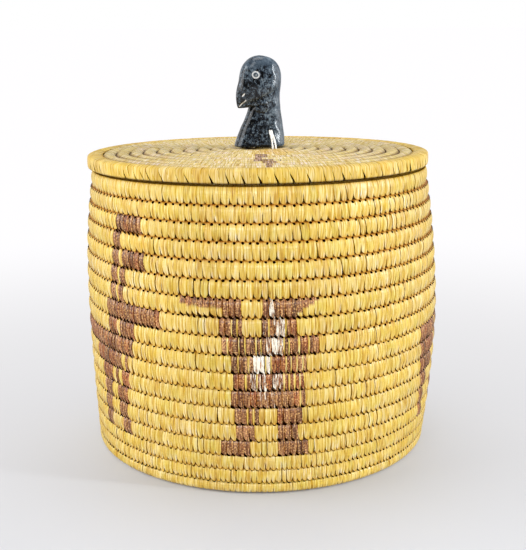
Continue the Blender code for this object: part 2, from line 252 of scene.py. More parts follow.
# ------------------------------------------------------------------ one strand's course over the coil
# (towards the face, towards growth) in units of the coil's two half sizes, from the tip that goes
# into the turn before, over the coil, to the tip on the other side.
FACE_SIDE = [(0.46, -1.37), (0.60, -1.29), (0.725, -1.22), (0.800, -1.16), (0.836, -1.09), (0.838, -1.01),
             (0.836, -0.92), (0.850, -0.82), (0.896, -0.66), (0.950, -0.44), (0.990, -0.18), (0.998, 0.06),
             (0.975, 0.30), (0.925, 0.52), (0.862, 0.71), (0.790, 0.86), (0.660, 0.96)]
ROUTE = np.array(FACE_SIDE + [(0.0, 1.0)] + [(-a, g) for a, g in reversed(FACE_SIDE[1::2])])
# The edge course of the lid is seen from below its middle as well.
ROUTE_EDGE = np.array(FACE_SIDE + [(0.35, 0.995), (0.0, 1.0), (-0.35, 0.995), (-0.60, 0.97), (-0.76, 0.89), (-0.87, 0.72),
                                   (-0.94, 0.48)] + [(-a, g) for a, g in reversed(FACE_SIDE[1:12:2])])
# The lid's turns stand more clearly apart.
LID_SIDE = [(0.20, -1.34), (0.40, -1.22), (0.52, -1.10), (0.585, -0.98), (0.66, -0.86), (0.77, -0.70),
            (0.88, -0.48), (0.965, -0.24), (0.998, 0.02), (0.960, 0.28), (0.870, 0.52), (0.730, 0.74), (0.520, 0.92)]
ROUTE_LID = np.array(LID_SIDE + [(0.0, 1.0)] + [(-a, g) for a, g in reversed(LID_SIDE[::2])])
# The surface of the turn before, just where the tips enter it.
ENTRY_G, ENTRY_A, ENTRY_TILT = 0.83, 0.812, 0.52
# The lowest wall course and the base wrap right round instead.
WRAP_SIDE = [(0.0, -1.0), (0.38, -0.94), (0.66, -0.80), (0.85, -0.58), (0.955, -0.32),
             (0.995, -0.03), (0.96, 0.30), (0.86, 0.58), (0.66, 0.80), (0.36, 0.945)]
ROUTE_WRAP = np.array(WRAP_SIDE + [(0.0, 1.0)] + [(-a, g) for a, g in reversed(WRAP_SIDE)])
ACROSS = np.array([-1.0, -0.80, 0.0, 0.80, 1.0])
CROWN = np.array([-1.0, 0.0, 0.35, 0.0, -1.0])
TONGUE_G = np.array([0.64, 0.77, 0.87, 0.95, 1.03, 1.10, 1.18, 1.30])
TONGUE_CUT = np.array([0.0, 0.026, 0.066, 0.112, 0.168, 0.240, 0.325, 0.385])


def route_normals(route):
    t = np.gradient(route, axis=0)
    n = np.stack([-t[:, 1], t[:, 0]], 1)
    n /= np.linalg.norm(n, axis=1)[:, None]
    if n[len(n) // 2, 1] < 0:
        n = -n
    return n


class Pile:
    """Collects strands and core into one mesh."""

    def __init__(self):
        self.v, self.f, self.tint, self.wear, self.dye, self.uv, self.bake = [], [], [], [], [], [], []
        self.slot = []
        self.count = 0

    def add(self, v, f, tint, wear, dye, uv, bake, dull=False):
        """dull says which faces are rough inside grass without any shine."""
        self.v.append(v.reshape(-1, 3))
        self.f.append(f.reshape(-1, 4) + self.count)
        self.slot.append(np.broadcast_to(dull, f.shape[:-1]).reshape(-1).astype(np.int32))
        self.tint.append(tint.reshape(-1, 3))
        self.wear.append(np.broadcast_to(wear, v.shape[:-1]).reshape(-1))
        self.dye.append(np.broadcast_to(dye, v.shape[:-1]).reshape(-1))
        self.uv.append(uv.reshape(-1, 2))
        self.bake.append(bake.reshape(-1, 2))
        self.count += v.reshape(-1, 3).shape[0]

    def mesh(self, name):
        v, f = np.concatenate(self.v), np.concatenate(self.f)
        mesh = bpy.data.meshes.new(name)
        mesh.vertices.add(len(v))
        mesh.vertices.foreach_set("co", v.astype(np.float32).ravel())
        mesh.loops.add(f.size)
        mesh.loops.foreach_set("vertex_index", f.astype(np.int32).ravel())
        mesh.polygons.add(len(f))
        mesh.polygons.foreach_set("loop_start", np.arange(0, f.size, 4, dtype=np.int32))
        mesh.polygons.foreach_set("material_index", np.concatenate(self.slot))
        for key, values in (("OFBake", self.bake), ("strand", self.uv)):
            layer = mesh.uv_layers.new(name=key)
            layer.data.foreach_set("uv", np.concatenate(values)[f.ravel()].astype(np.float32).ravel())
        tint = np.concatenate(self.tint)
        colour = mesh.attributes.new("tint", "FLOAT_COLOR", "POINT")
        colour.data.foreach_set("color", np.c_[tint, np.ones(len(tint))].astype(np.float32).ravel())
        for key, values in (("wear", self.wear), ("dye", self.dye)):
            layer = mesh.attributes.new(key, "FLOAT", "POINT")
            layer.data.foreach_set("value", np.concatenate(values).astype(np.float32))
        mesh.update(calc_edges=True)
        mesh.validate()
        mesh.shade_smooth()
        return mesh


def grid_faces(strands, along, across):
    n, m = along, across
    i = np.arange(n - 1)[:, None] * m + np.arange(m - 1)[None, :]
    quad = np.stack([i, i + 1, i + m + 1, i + m], -1)
    return np.arange(strands)[:, None, None, None] * n * m + quad[None]


def lay_strands(pile, frame_of, plan, rng, look, route=ROUTE, floor=None, cell=(0.0, 1.0)):
    """plan holds the boundaries between strands, in turns, and the colours of each strand."""
    edges = plan["edges"]
    count = len(edges) - 1
    n, m = len(route), len(ACROSS)
    normals = route_normals(route)
    left, right = edges[:-1], edges[1:]
    middle = 0.5 * (left + right)
    r_mid = frame_of(middle)[5]
    pitch = (right - left) * 2.0 * math.pi * r_mid
    dyed = plan["kind"] != 0
    near_dyed = np.zeros(count + 1, bool)
    near_dyed[:-1] |= dyed
    near_dyed[1:] |= dyed
    # Boundaries are shared, so their character is drawn once each.
    size = rng.uniform(*look["notch"], count + 1) * np.where(near_dyed, look["dyed_notch"], 1.0)
    raise_by = rng.normal(0.0, 0.05, count + 1)
    tick_top = -0.80 + rng.uniform(0.0, 1.0, count + 1) ** 1.3 * look["tick_reach"]
    tick = rng.uniform(look["tick"] * 0.15, look["tick"], count + 1)
    slipped = plan.get("slipped", np.zeros(count + 1, bool))
    whole = rng.random(count + 1) < np.where(slipped, 0.7, look["open_share"])
    whole_gap = np.where(whole, rng.uniform(*look["open"], count + 1), rng.uniform(0.0, look["gap"], count + 1))
    fan = rng.uniform(0.0, 1.0, count + 1) ** 1.4 * look["fan"]
    g, a = route[:, 1][None, :], route[:, 0][None, :]
    face = smooth(a + 0.5)

    def edge_cut(i):
        """How far, in metres, the strand stays back from boundary i along its route."""
        tongue = np.interp(-(g + raise_by[i][:, None]), TONGUE_G, TONGUE_CUT) * size[i][:, None] * pitch[:, None]
        line = tick[i][:, None] * smooth((tick_top[i][:, None] - g) / 0.45) * face
        opened = 0.5 * whole_gap[i][:, None] * face * smooth((0.97 - g) / 0.15)
        fanned = fan[i][:, None] * smooth((0.62 - a) / 0.9) if look["fan"] > 0 else 0.0
        return tongue + line + opened + fanned

    def parted(i):
        """Where along the route the strands on both sides of boundary i stand apart."""
        lower = smooth((tick_top[i][:, None] + 0.25 - g) / 0.45)
        return np.maximum(np.maximum(lower, whole[i][:, None] * 1.0), 1.0 - face)

    cut_left = edge_cut(np.arange(count)) / pitch[:, None]
    cut_right = edge_cut(np.arange(1, count + 1)) / pitch[:, None]
    ends = np.ones((count, n, m))
    ends[:, :, 0], ends[:, :, 1] = parted(np.arange(count)), parted(np.arange(count))
    ends[:, :, 3], ends[:, :, 4] = parted(np.arange(1, count + 1)), parted(np.arange(1, count + 1))
    lean_tip = np.where(dyed, look["dyed_lean"], look["tip_lean"])[:, None] * rng.uniform(0.6, 1.3, (count, 1))
    # all strands of a stretch lean much the same way, so that they stay side by side
    sway = look["lean"] + look["lean_spread"] * drift(middle, rng, 3.0) + rng.normal(0.0, 0.02, count) + plan.get("lean", 0.0)
    shift = lean_tip * smooth((-g - 0.74) / 0.45) + sway[:, None] * -g * 0.5
    shift = shift + look["slant"] * rng.uniform(0.6, 1.4, (count, 1)) * smooth((0.60 - a) / 1.5)
    lo, hi = cut_left, 1.0 - cut_right
    tight = hi - lo < 0.20
    mid = 0.5 * (lo + hi)
    lo, hi = np.where(tight, mid - 0.10, lo) + shift, np.where(tight, mid + 0.10, hi) + shift
    half = 0.5 * (ACROSS + 1.0)
    u = lo[..., None] + (hi - lo)[..., None] * half[None, None, :]
    v = left[:, None, None] + u * (right - left)[:, None, None]
    centre, a_dir, g_dir, half_a, half_g, r = frame_of(v.ravel())
    shape = (count, n, m)

    def spread(values):
        return np.broadcast_to(values[None, :, None], shape).ravel()

    route_a, route_g = spread(route[:, 0]), spread(route[:, 1])
    norm_a, norm_g = spread(normals[:, 0]), spread(normals[:, 1])
    t = np.broadcast_to(ACROSS[None, None, :], shape)
    bevel = look["bevel"] * rng.uniform(0.7, 1.3, count)[:, None, None]
    proud = rng.normal(0.0, look["proud"], count)[:, None, None]
    twist = rng.normal(0.0, look["twist"], count)[:, None, None]
    sunk = np.where(np.abs(t) > 0.9, 0.10 + 0.90 * ends, 1.0)
    lift = proud * (0.3 + 0.7 * ends) + bevel * CROWN[None, None, :] * sunk + twist * t * ends
    wave = look["wave"] * np.sin(np.arange(n)[None, :, None] * rng.uniform(0.3, 0.8, count)[:, None, None]
                                 + rng.uniform(0, 6.28, count)[:, None, None])
    lift = (lift + wave).ravel()
    scale = np.minimum(1.0, half_g / look["full"])
    p = (centre + a_dir * (route_a * half_a + norm_a * lift * scale)[:, None]
         + g_dir * (route_g * half_g + norm_g * lift * scale)[:, None])
    if floor is not None:
        p[:, 2] = np.maximum(p[:, 2], floor)
    p = p.reshape(shape + (3,))

    # colour of each strand, and painted shade towards the holes and into the grooves
    dye = plan["dye"](route[:, 1])                                           # count, n
    body = plan["tint"][:, None, :] * (1.0 - dye[..., None]) + plan["dyed"][:, None, :] * dye[..., None]
    body = np.broadcast_to(body[:, :, None, :], shape + (3,)).copy()
    gg = route[:, 1][None, :, None, None]
    undyed = (1.0 - dye)[:, :, None, None]
    # painted shade: warmer and darker where the coil turns under towards the tips and where it comes out from under the
    # turn above
    warm = np.array([0.95, 0.76, 0.40])
    body *= 1.0 + (warm - 1.0) * smooth((-0.62 - gg) / 0.45) * look["warm"] * undyed
    body *= 1.0 + (warm - 1.0) * smooth((gg - 0.62) / 0.30) * look["warm_top"] * undyed
    # painted shade: the very tip turns to SHADOW where it goes into its hole
    tip_from = np.where(dyed, look["dyed_tip"], look["tip"][0])[:, None, None, None]
    tip = smooth((-tip_from - gg) / look["tip"][1])
    body = body * (1.0 - tip) + SHADOW * tip
    # painted shade where the coil runs under the turn above it, darkened towards the groove colour
    top = smooth((gg - look["top_from"]) / look["top_width"]) * look["top_shade"]
    top = top * smooth((route[:, 0][None, :, None, None] - look["top_outer"]) / 0.30)
    body = body * (1.0 - top) + body * np.array(look["groove"]) * top
    # painted shade on the underside of the lid's edge course, above the rim
    foot = smooth((-0.66 - route[:, 0][None, :, None, None]) / 0.24) * (gg > 0.4) * look["foot_shade"]
    body = body * (1.0 - foot) + body * np.array([0.06, 0.014, 0.004]) * foot
    # painted highlight: a pale cream line beside a gap; painted shade: dark along the strand's very edge and brown
    # round the tongue
    apart = ends[..., None] * (gg < 0.7)
    painted_edge_highlight = (np.abs(np.abs(t[..., None]) - 0.80) < 0.05) * rng.uniform(0.0, 0.32, count)[:, None, None, None] * undyed
    painted_edge_highlight = painted_edge_highlight * apart * smooth((gg + 1.0) / 0.2)
    body = body * (1.0 - painted_edge_highlight) + lin(250, 232, 178) * painted_edge_highlight
    near_tip = smooth((-0.76 - gg) / 0.20)
    side = (np.abs(t[..., None]) > 0.9) * np.maximum(look["edge_shade"] * apart, 0.97 * near_tip)
    body = body * (1.0 - side) + body * np.array([0.22, 0.09, 0.02]) * side

    # texture coordinates: millimetres across and along, each strand in its own place
    seg = np.linalg.norm(np.diff(route, axis=0), axis=1)
    along = np.concatenate([[0.0], np.cumsum(seg)]) * 4.4
    across_mm = u * pitch[:, None, None] * 1000.0
    offset = (np.arange(count) * 7.31 + rng.uniform(0, 50))[:, None, None]
    uv = np.stack([across_mm + offset, np.broadcast_to(along[None, :, None], shape)
                   + rng.uniform(0, 60, count)[:, None, None]], -1)
    # a grid of cells for baking
    columns = max(1, int(math.ceil(math.sqrt(count * 2.6))))
    rows = int(math.ceil(count / columns))
    i = np.arange(count)
    cx, cy = (i % columns)[:, None, None], (i // columns)[:, None, None]
    bu = (cx + 0.06 + 0.88 * half[None, None, :]) / columns
    bv = (cy + 0.03 + 0.94 * (np.arange(n) / (n - 1.0))[None, :, None]) / rows
    bv = cell[0] + (cell[1] - cell[0]) * bv
    bake = np.stack(np.broadcast_arrays(bu * np.ones(shape), bv * np.ones(shape)), -1)
    faces = grid_faces(count, n, m)
    # the bevelled sides and the very tips don't shine
    dull = np.zeros(faces.shape[:-1], bool)
    dull[:, :, 0] = dull[:, :, -1] = True
    dull[:, :n // 2] |= (0.5 * (route[:n // 2, 1] + route[1:n // 2 + 1, 1]) < -1.12)[None, :, None]
    mid_a, mid_g = (0.5 * (route[:-1, k] + route[1:, k]) for k in (0, 1))
    if look["dull_foot"]:
        dull |= ((mid_a < -0.74) & (mid_g > 0.3))[None, :, None]
    if look["dull_top"]:
        dull |= ((mid_a > 0.3) & (mid_g > 0.90))[None, :, None]
    pile.add(p, faces, body, plan["wear"][:, None, None], dye[:, :, None], uv, bake, dull)
    if look["holes"]:
        at = int(np.argmin(np.abs(route[:n // 2, 1] + 1.16)))
        where = np.where(dyed, left, left + 0.5 * (lo[:, at] + hi[:, at]) * (right - left))
        lay_holes(pile, frame_of, where, dyed, np.minimum(1.0, pitch / 0.0030), rng, look)


def lay_holes(pile, frame_of, where, dyed, size, rng, look):
    """The small hole that each strand's tip enters, in the turn before, drawn as a dark patch of
    painted shade.  Between dyed strands it is drawn out into a slanting gap."""
    keep = where > 1.0
    where, dyed, size = where[keep] - 1.0, dyed[keep], size[keep]
    count = len(where)
    if count == 0:
        return
    q = np.linspace(-1.0, 1.0, 5)
    px, py = np.meshgrid(q, q, indexing="ij")
    dx, dy = px * np.sqrt(1.0 - 0.5 * py ** 2), py * np.sqrt(1.0 - 0.5 * px ** 2)
    shape = [np.where(dyed, look["dyed_hole"][k], look["hole"][k]) for k in range(5)]
    long_, short = shape[0] * size * rng.uniform(0.75, 1.15, count), shape[1] * rng.uniform(0.8, 1.15, count)
    turn = shape[2] + rng.normal(0.0, 0.12, count)
    c, s = np.cos(turn)[:, None, None], np.sin(turn)[:, None, None]
    on, off = dx[None] * long_[:, None, None], dy[None] * short[:, None, None]
    across, along = on * c - off * s, on * s + off * c
    r = frame_of(where)[5]
    shift = np.where(dyed, 0.00075, 0.0)[:, None, None]
    v = where[:, None, None] + (across + shift) / (2.0 * math.pi * r[:, None, None])
    centre, a_dir, g_dir, half_a, half_g, r = frame_of(v.ravel())
    at_g, at_a = (np.broadcast_to(shape[k][:, None, None], v.shape).ravel() for k in (3, 4))
    tilt = np.where(np.broadcast_to(dyed[:, None, None], v.shape), 0.15, ENTRY_TILT).ravel()
    normal_a, normal_g = np.cos(tilt), np.sin(tilt)
    lift = ((0.00034 * (1.0 - dx ** 2 - dy ** 2) - 0.00008)[None] + np.zeros_like(v)).ravel()
    step = (along + rng.normal(0.0, 0.00010, count)[:, None, None]).ravel()
    a = at_a * half_a - normal_g * step + normal_a * lift
    g = at_g * half_g + normal_a * step + normal_g * lift
    p = (centre + a_dir * a[:, None] + g_dir * g[:, None]).reshape(v.shape + (3,))
    # painted shade: the hole is a near-black patch
    tint = np.broadcast_to(lin(22, 7, 1), p.shape)
    zero = np.zeros(v.shape)
    uv = np.stack([across * 1000.0, along * 1000.0], -1)
    i = np.arange(count)[:, None, None]
    bake = np.stack(np.broadcast_arrays((i + 0.5 + 0.4 * px[None]) / count, 0.0330 + 0.0006 * py[None] + zero), -1)
    pile.add(p, grid_faces(count, 5, 5), tint, zero, zero, uv, bake, True)


def lay_core(pile, frame_of, start, end, shrink=0.00045, sides=12, floor=None):
    """The bundle of foundation grass that shows between the strands, coloured dark with painted shade."""
    steps = max(8, int((end - start) * 72))
    v = np.linspace(start, end, steps + 1)
    centre, a_dir, g_dir, half_a, half_g, r = frame_of(v)
    ang = np.linspace(0.0, 2.0 * math.pi, sides + 1)
    ha, hg = np.maximum(half_a - shrink, 0.35 * half_a), np.maximum(half_g - shrink, 0.35 * half_g)
    p = (centre[:, None] + a_dir[:, None] * (np.cos(ang)[None, :] * ha[:, None])[..., None]
         + g_dir[:, None] * (np.sin(ang)[None, :] * hg[:, None])[..., None])
    if floor is not None:
        p[..., 2] = np.maximum(p[..., 2], floor)
    n, m = p.shape[:2]
    i = np.arange(n - 1)[:, None] * m + np.arange(m - 1)[None, :]
    faces = np.stack([i, i + 1, i + m + 1, i + m], -1)
    # painted shade: the core is coloured as grass lying in shadow
    tint = np.broadcast_to(SHADED_CORE * 0.45, p.shape)
    uv = np.stack(np.broadcast_arrays(v[:, None] * 600.0, ang[None, :] * 4.0), -1)
    bake = np.stack(np.broadcast_arrays((v[:, None] - start) / (end - start) * 0.99 + 0.005,
                                        0.002 + 0.030 * ang[None, :] / (2.0 * math.pi)), -1)
    pile.add(p, faces, tint, np.zeros(p.shape[:-1]), np.zeros(p.shape[:-1]), uv, bake, True)


# ------------------------------------------------------------------ which strand goes where
def mixed(rng, count, weighted):
    table = np.array([c for c, w in weighted])
    weights = np.array([w for c, w in weighted])
    weights = weights / weights.sum()
    pick, other = rng.choice(len(table), count, p=weights), rng.choice(len(table), count, p=weights)
    blend = rng.uniform(0.0, 0.5, count)[:, None]
    return table[pick] * (1.0 - blend) + table[other] * blend


def drift(middle, rng, reach):
    """A slow change of shade along the coil, as one batch of grass follows another."""
    out = np.zeros_like(middle)
    for k in range(1, 5):
        out += np.sin(middle * 2.0 * math.pi * k * reach + rng.uniform(0, 6.28)) / k
    return out * 0.4


def fill(rng, length, pitch, jitter=0.15):
    """Widths of the strands that fill a stretch of coil."""
    number = max(1, int(round(length / pitch)))
    widths = 1.0 + jitter * rng.uniform(-1.0, 1.0, number)
    return list(widths / widths.sum() * length)


WALL_MIX = [(GOLD, 0.24), (STRAW, 0.36), (PALE, 0.18), (OCHRE, 0.06), (OLIVE, 0.16)]


def shades(rng, middle, weighted, reach, apart, slow, quick):
    """Strands differ little from their neighbours, more from one stretch to the next."""
    count = len(middle)
    mean = sum(c * w for c, w in weighted) / sum(w for c, w in weighted)
    tint = mean * (1.0 - apart) + mixed(rng, count, weighted) * apart
    tint = tint * (1.0 + slow * drift(middle, rng, reach) + rng.normal(0.0, quick, count))[:, None]
    tint = tint * (1.0 + np.array([0.0, 0.0, 0.22]) * drift(middle, rng, 2.3 * reach)[:, None])
    return np.clip(tint, 0.004, 0.95)


def wall_plan(course, start, end, rng):
    plain = 0.0039 if course >= 15 else 0.0036 if course >= 11 else 0.0033 if course >= 8 else 0.0030 if course >= 4 else 0.0027
    spans = []
    for middle, figure, front in FIGURES:
        for a0, a1, kind in figure.get(course, ()):
            v0 = (course - 1) + (wrapped(middle + a0) + 180.0) / 360.0
            spans.append((v0, v0 + (a1 - a0) / 360.0, kind, front, a0, a1))
    spans.sort()
    pieces, here = [], start
    for v0, v1, kind, front, a0, a1 in spans:
        v0, v1 = max(v0, here), min(v1, end)
        if v1 - v0 < 0.002:
            continue
        if v0 > here:
            pieces.append((here, v0, 0, False, 0.0, 0.0))
        pieces.append((v0, v1, kind, front, a0, a1))
        here = v1
    if end > here:
        pieces.append((here, end, 0, False, 0.0, 0.0))
    edges, kinds, wear, where = [start], [], [], []
    for v0, v1, kind, front, a0, a1 in pieces:
        around = 2.0 * math.pi * float(wall_frame(np.array([0.5 * (v0 + v1)]))[5][0])
        length = (v1 - v0) * around
        pitch = plain if kind == 0 else 0.0027 if front and BETWEEN.get(course, 0.0) > 0.4 else 0.0030
        widths = fill(rng, length, pitch)
        these = [kind] * len(widths)
        if kind == 1 and front and course in BETWEEN:
            split_w, split_k = [], []
            for i, w in enumerate(widths):
                if 0 < i < len(widths) and rng.random() < BETWEEN[course]:
                    part = rng.uniform(0.22, 0.38)
                    split_w += [w * part, w * (1.0 - part)]
                    split_k += [0, 1]
                else:
                    split_w.append(w)
                    split_k.append(1)
            widths, these = split_w, split_k
        elif kind == 1:
            these = [0 if 0 < i < len(these) - 1 and rng.random() < 0.05 else 1 for i in range(len(these))]
        for w, k in zip(widths, these):
            at = edges[-1] + 0.5 * w / around
            azimuth = a0 + (at - v0) * 360.0
            worn = 0.0
            if k == 1 and front:
                for w0, w1, share, far in WORN.get(course, ()):
                    if w0 <= azimuth <= w1 and rng.random() < share:
                        worn = far * rng.uniform(0.85, 1.0)
            edges.append(edges[-1] + w / around)
            kinds.append(k)
            wear.append(worn)
            where.append((azimuth - a0) / (a1 - a0) if kind else 0.0)
    edges[-1] = end
    edges, kinds, wear, where = np.array(edges), np.array(kinds, float), np.array(wear), np.array(where)
    count = len(kinds)
    middle = 0.5 * (edges[1:] + edges[:-1])
    tint = shades(rng, middle, WALL_MIX, 2.0, 0.36, 0.06, 0.018)
    around_wall = wrapped((edges - np.floor(edges)) * 360.0 - 180.0)
    slipped = np.zeros(count + 1, bool)
    for k, a0, a1 in SLIPPED:
        if k == course:
            slipped |= (around_wall > a0) & (around_wall < a1)
    red = smooth(1.0 - abs(course - 8.0) / 2.2) * 0.8
    pick = rng.random(count)[:, None]
    dyed = np.where(pick < 0.15 + 0.55 * red, DYED_RED, np.where(pick < 0.80, DYED, DYED_DARK))
    dyed = dyed * (1.0 + rng.normal(0.0, 0.09, count))[:, None]
    uneven = rng.uniform(-0.14, 0.14, count)[:, None]

    def dye(g):
        out = np.zeros((count, len(g)))
        out[kinds == 1] = 1.0
        out[kinds == 0.5] = smooth((g[None, :] + 0.02 + uneven[kinds == 0.5]) / 0.10)
        wedge = kinds == -1
        out[wedge] = smooth((g[None, :] + 0.80 - 1.6 * where[wedge][:, None]) / 0.12)
        return out

    # on the right the stitches lean
    side = wrapped((middle - np.floor(middle)) * 360.0 - 180.0)
    lean = 0.38 * smooth((side + 2.0) / 30.0) * smooth((110.0 - side) / 40.0) * (0.4 if course < 13 else 1.0)
    return dict(edges=edges, kind=kinds, tint=tint, dyed=dyed, wear=wear, dye=dye, slipped=slipped, lean=lean)


def plain_plan(frame_of, start, end, spacing, rng, weighted, reach=1.0, spread=0.05, marked=None):
    """Undyed coil; marked(x, y) may name a few dyed strands."""
    edges = [start]
    while edges[-1] < end:
        r = float(frame_of(np.array([edges[-1]]))[5][0])
        edges.append(edges[-1] + spacing * (1.0 + 0.15 * rng.uniform(-1.0, 1.0)) / (2.0 * math.pi * r))
    if len(edges) > 2 and edges[-1] - end > end - edges[-2]:
        edges.pop()
    edges = np.array(edges)
    edges = start + (edges - start) * (end - start) / (edges[-1] - start)
    count = len(edges) - 1
    middle = 0.5 * (edges[1:] + edges[:-1])
    tint = shades(rng, middle, weighted, reach, 0.45, 0.05, spread)
    kinds = np.zeros(count)
    place = frame_of(middle)[0]
    if marked is not None:
        kinds = np.array([1.0 if marked(x, y) else 0.0 for x, y, z in place])
    return dict(edges=edges, kind=kinds, tint=tint, place=place,
                dyed=np.tile(lin(142, 114, 102), (count, 1)) * (1.0 + rng.normal(0.0, 0.12, count))[:, None],
                wear=np.zeros(count),
                dye=lambda g: np.broadcast_to(kinds[:, None], (count, len(g))) * smooth((0.75 - np.abs(g[None, :] + 0.1)) / 0.2))


def look(**changes):
    base = dict(notch=(0.85, 1.20), dyed_notch=1.25, tick_reach=1.15, tick=0.00016, gap=0.00004, open_share=0.08,
                open=(0.00016, 0.00034), fan=0.0, slant=0.0, tip_lean=0.12, dyed_lean=0.42, lean=0.04, lean_spread=0.16,
                bevel=0.00008, proud=0.00002, twist=0.00002, wave=0.00002, full=0.0040, warm=0.8, warm_top=0.6,
                tip=(1.13, 0.08), dyed_tip=0.98, top_from=0.80, top_width=0.14, top_shade=0.92, groove=(0.50, 0.24, 0.07),
                top_outer=-9.0, foot_shade=0.0, dull_foot=False, dull_top=False, edge_shade=0.50, holes=False,
                hole=(0.00086, 0.00070, -0.3, ENTRY_G, ENTRY_A),
                dyed_hole=(0.00145, 0.00060, -0.62, 0.91, 0.850))
    base.update(changes)
    return base


# ------------------------------------------------------------------ materials
def math_node(nodes, links, operation, a, b=None, c=None, clamp=False):
    made = nodes.new("ShaderNodeMath")
    made.operation = operation
    made.use_clamp = clamp
    for socket, value in zip(made.inputs, (a, b, c)):
        if value is None:
            continue
        if isinstance(value, (int, float)):
            socket.default_value = value
        else:
            links.new(value, socket)
    return made.outputs["Value"]


def noise_node(nodes, links, coordinates, stretch, detail=3.0, rough=0.5):
    mapping = nodes.new("ShaderNodeMapping")
    mapping.inputs["Scale"].default_value = stretch
    links.new(coordinates, mapping.inputs["Vector"])
    made = nodes.new("ShaderNodeTexNoise")
    made.inputs["Scale"].default_value = 1.0
    made.inputs["Detail"].default_value = detail
    made.inputs["Roughness"].default_value = rough
    links.new(mapping.outputs["Vector"], made.inputs["Vector"])
    return made.outputs["Fac"]


def ramp_node(nodes, links, value, stops):
    made = nodes.new("ShaderNodeValToRGB")
    elements = made.color_ramp.elements
    elements[0].position, elements[0].color = stops[0][0], (*stops[0][1], 1.0)
    elements[1].position, elements[1].color = stops[-1][0], (*stops[-1][1], 1.0)
    for place, colour in stops[1:-1]:
        elements.new(place).color = (*colour, 1.0)
    links.new(value, made.inputs["Fac"])
    return made.outputs["Color"]


def mix_node(nodes, links, factor, a, b, blend="MIX"):
    made = nodes.new("ShaderNodeMix")
    made.data_type = "RGBA"
    made.blend_type = blend
    for socket, value in ((made.inputs["Factor"], factor), (made.inputs["A"], a), (made.inputs["B"], b)):
        if isinstance(value, (int, float)):
            socket.default_value = value
        elif isinstance(value, (tuple, list, np.ndarray)):
            socket.default_value = (*[float(x) for x in value], 1.0)
        else:
            links.new(value, socket)
    return made.outputs["Result"]


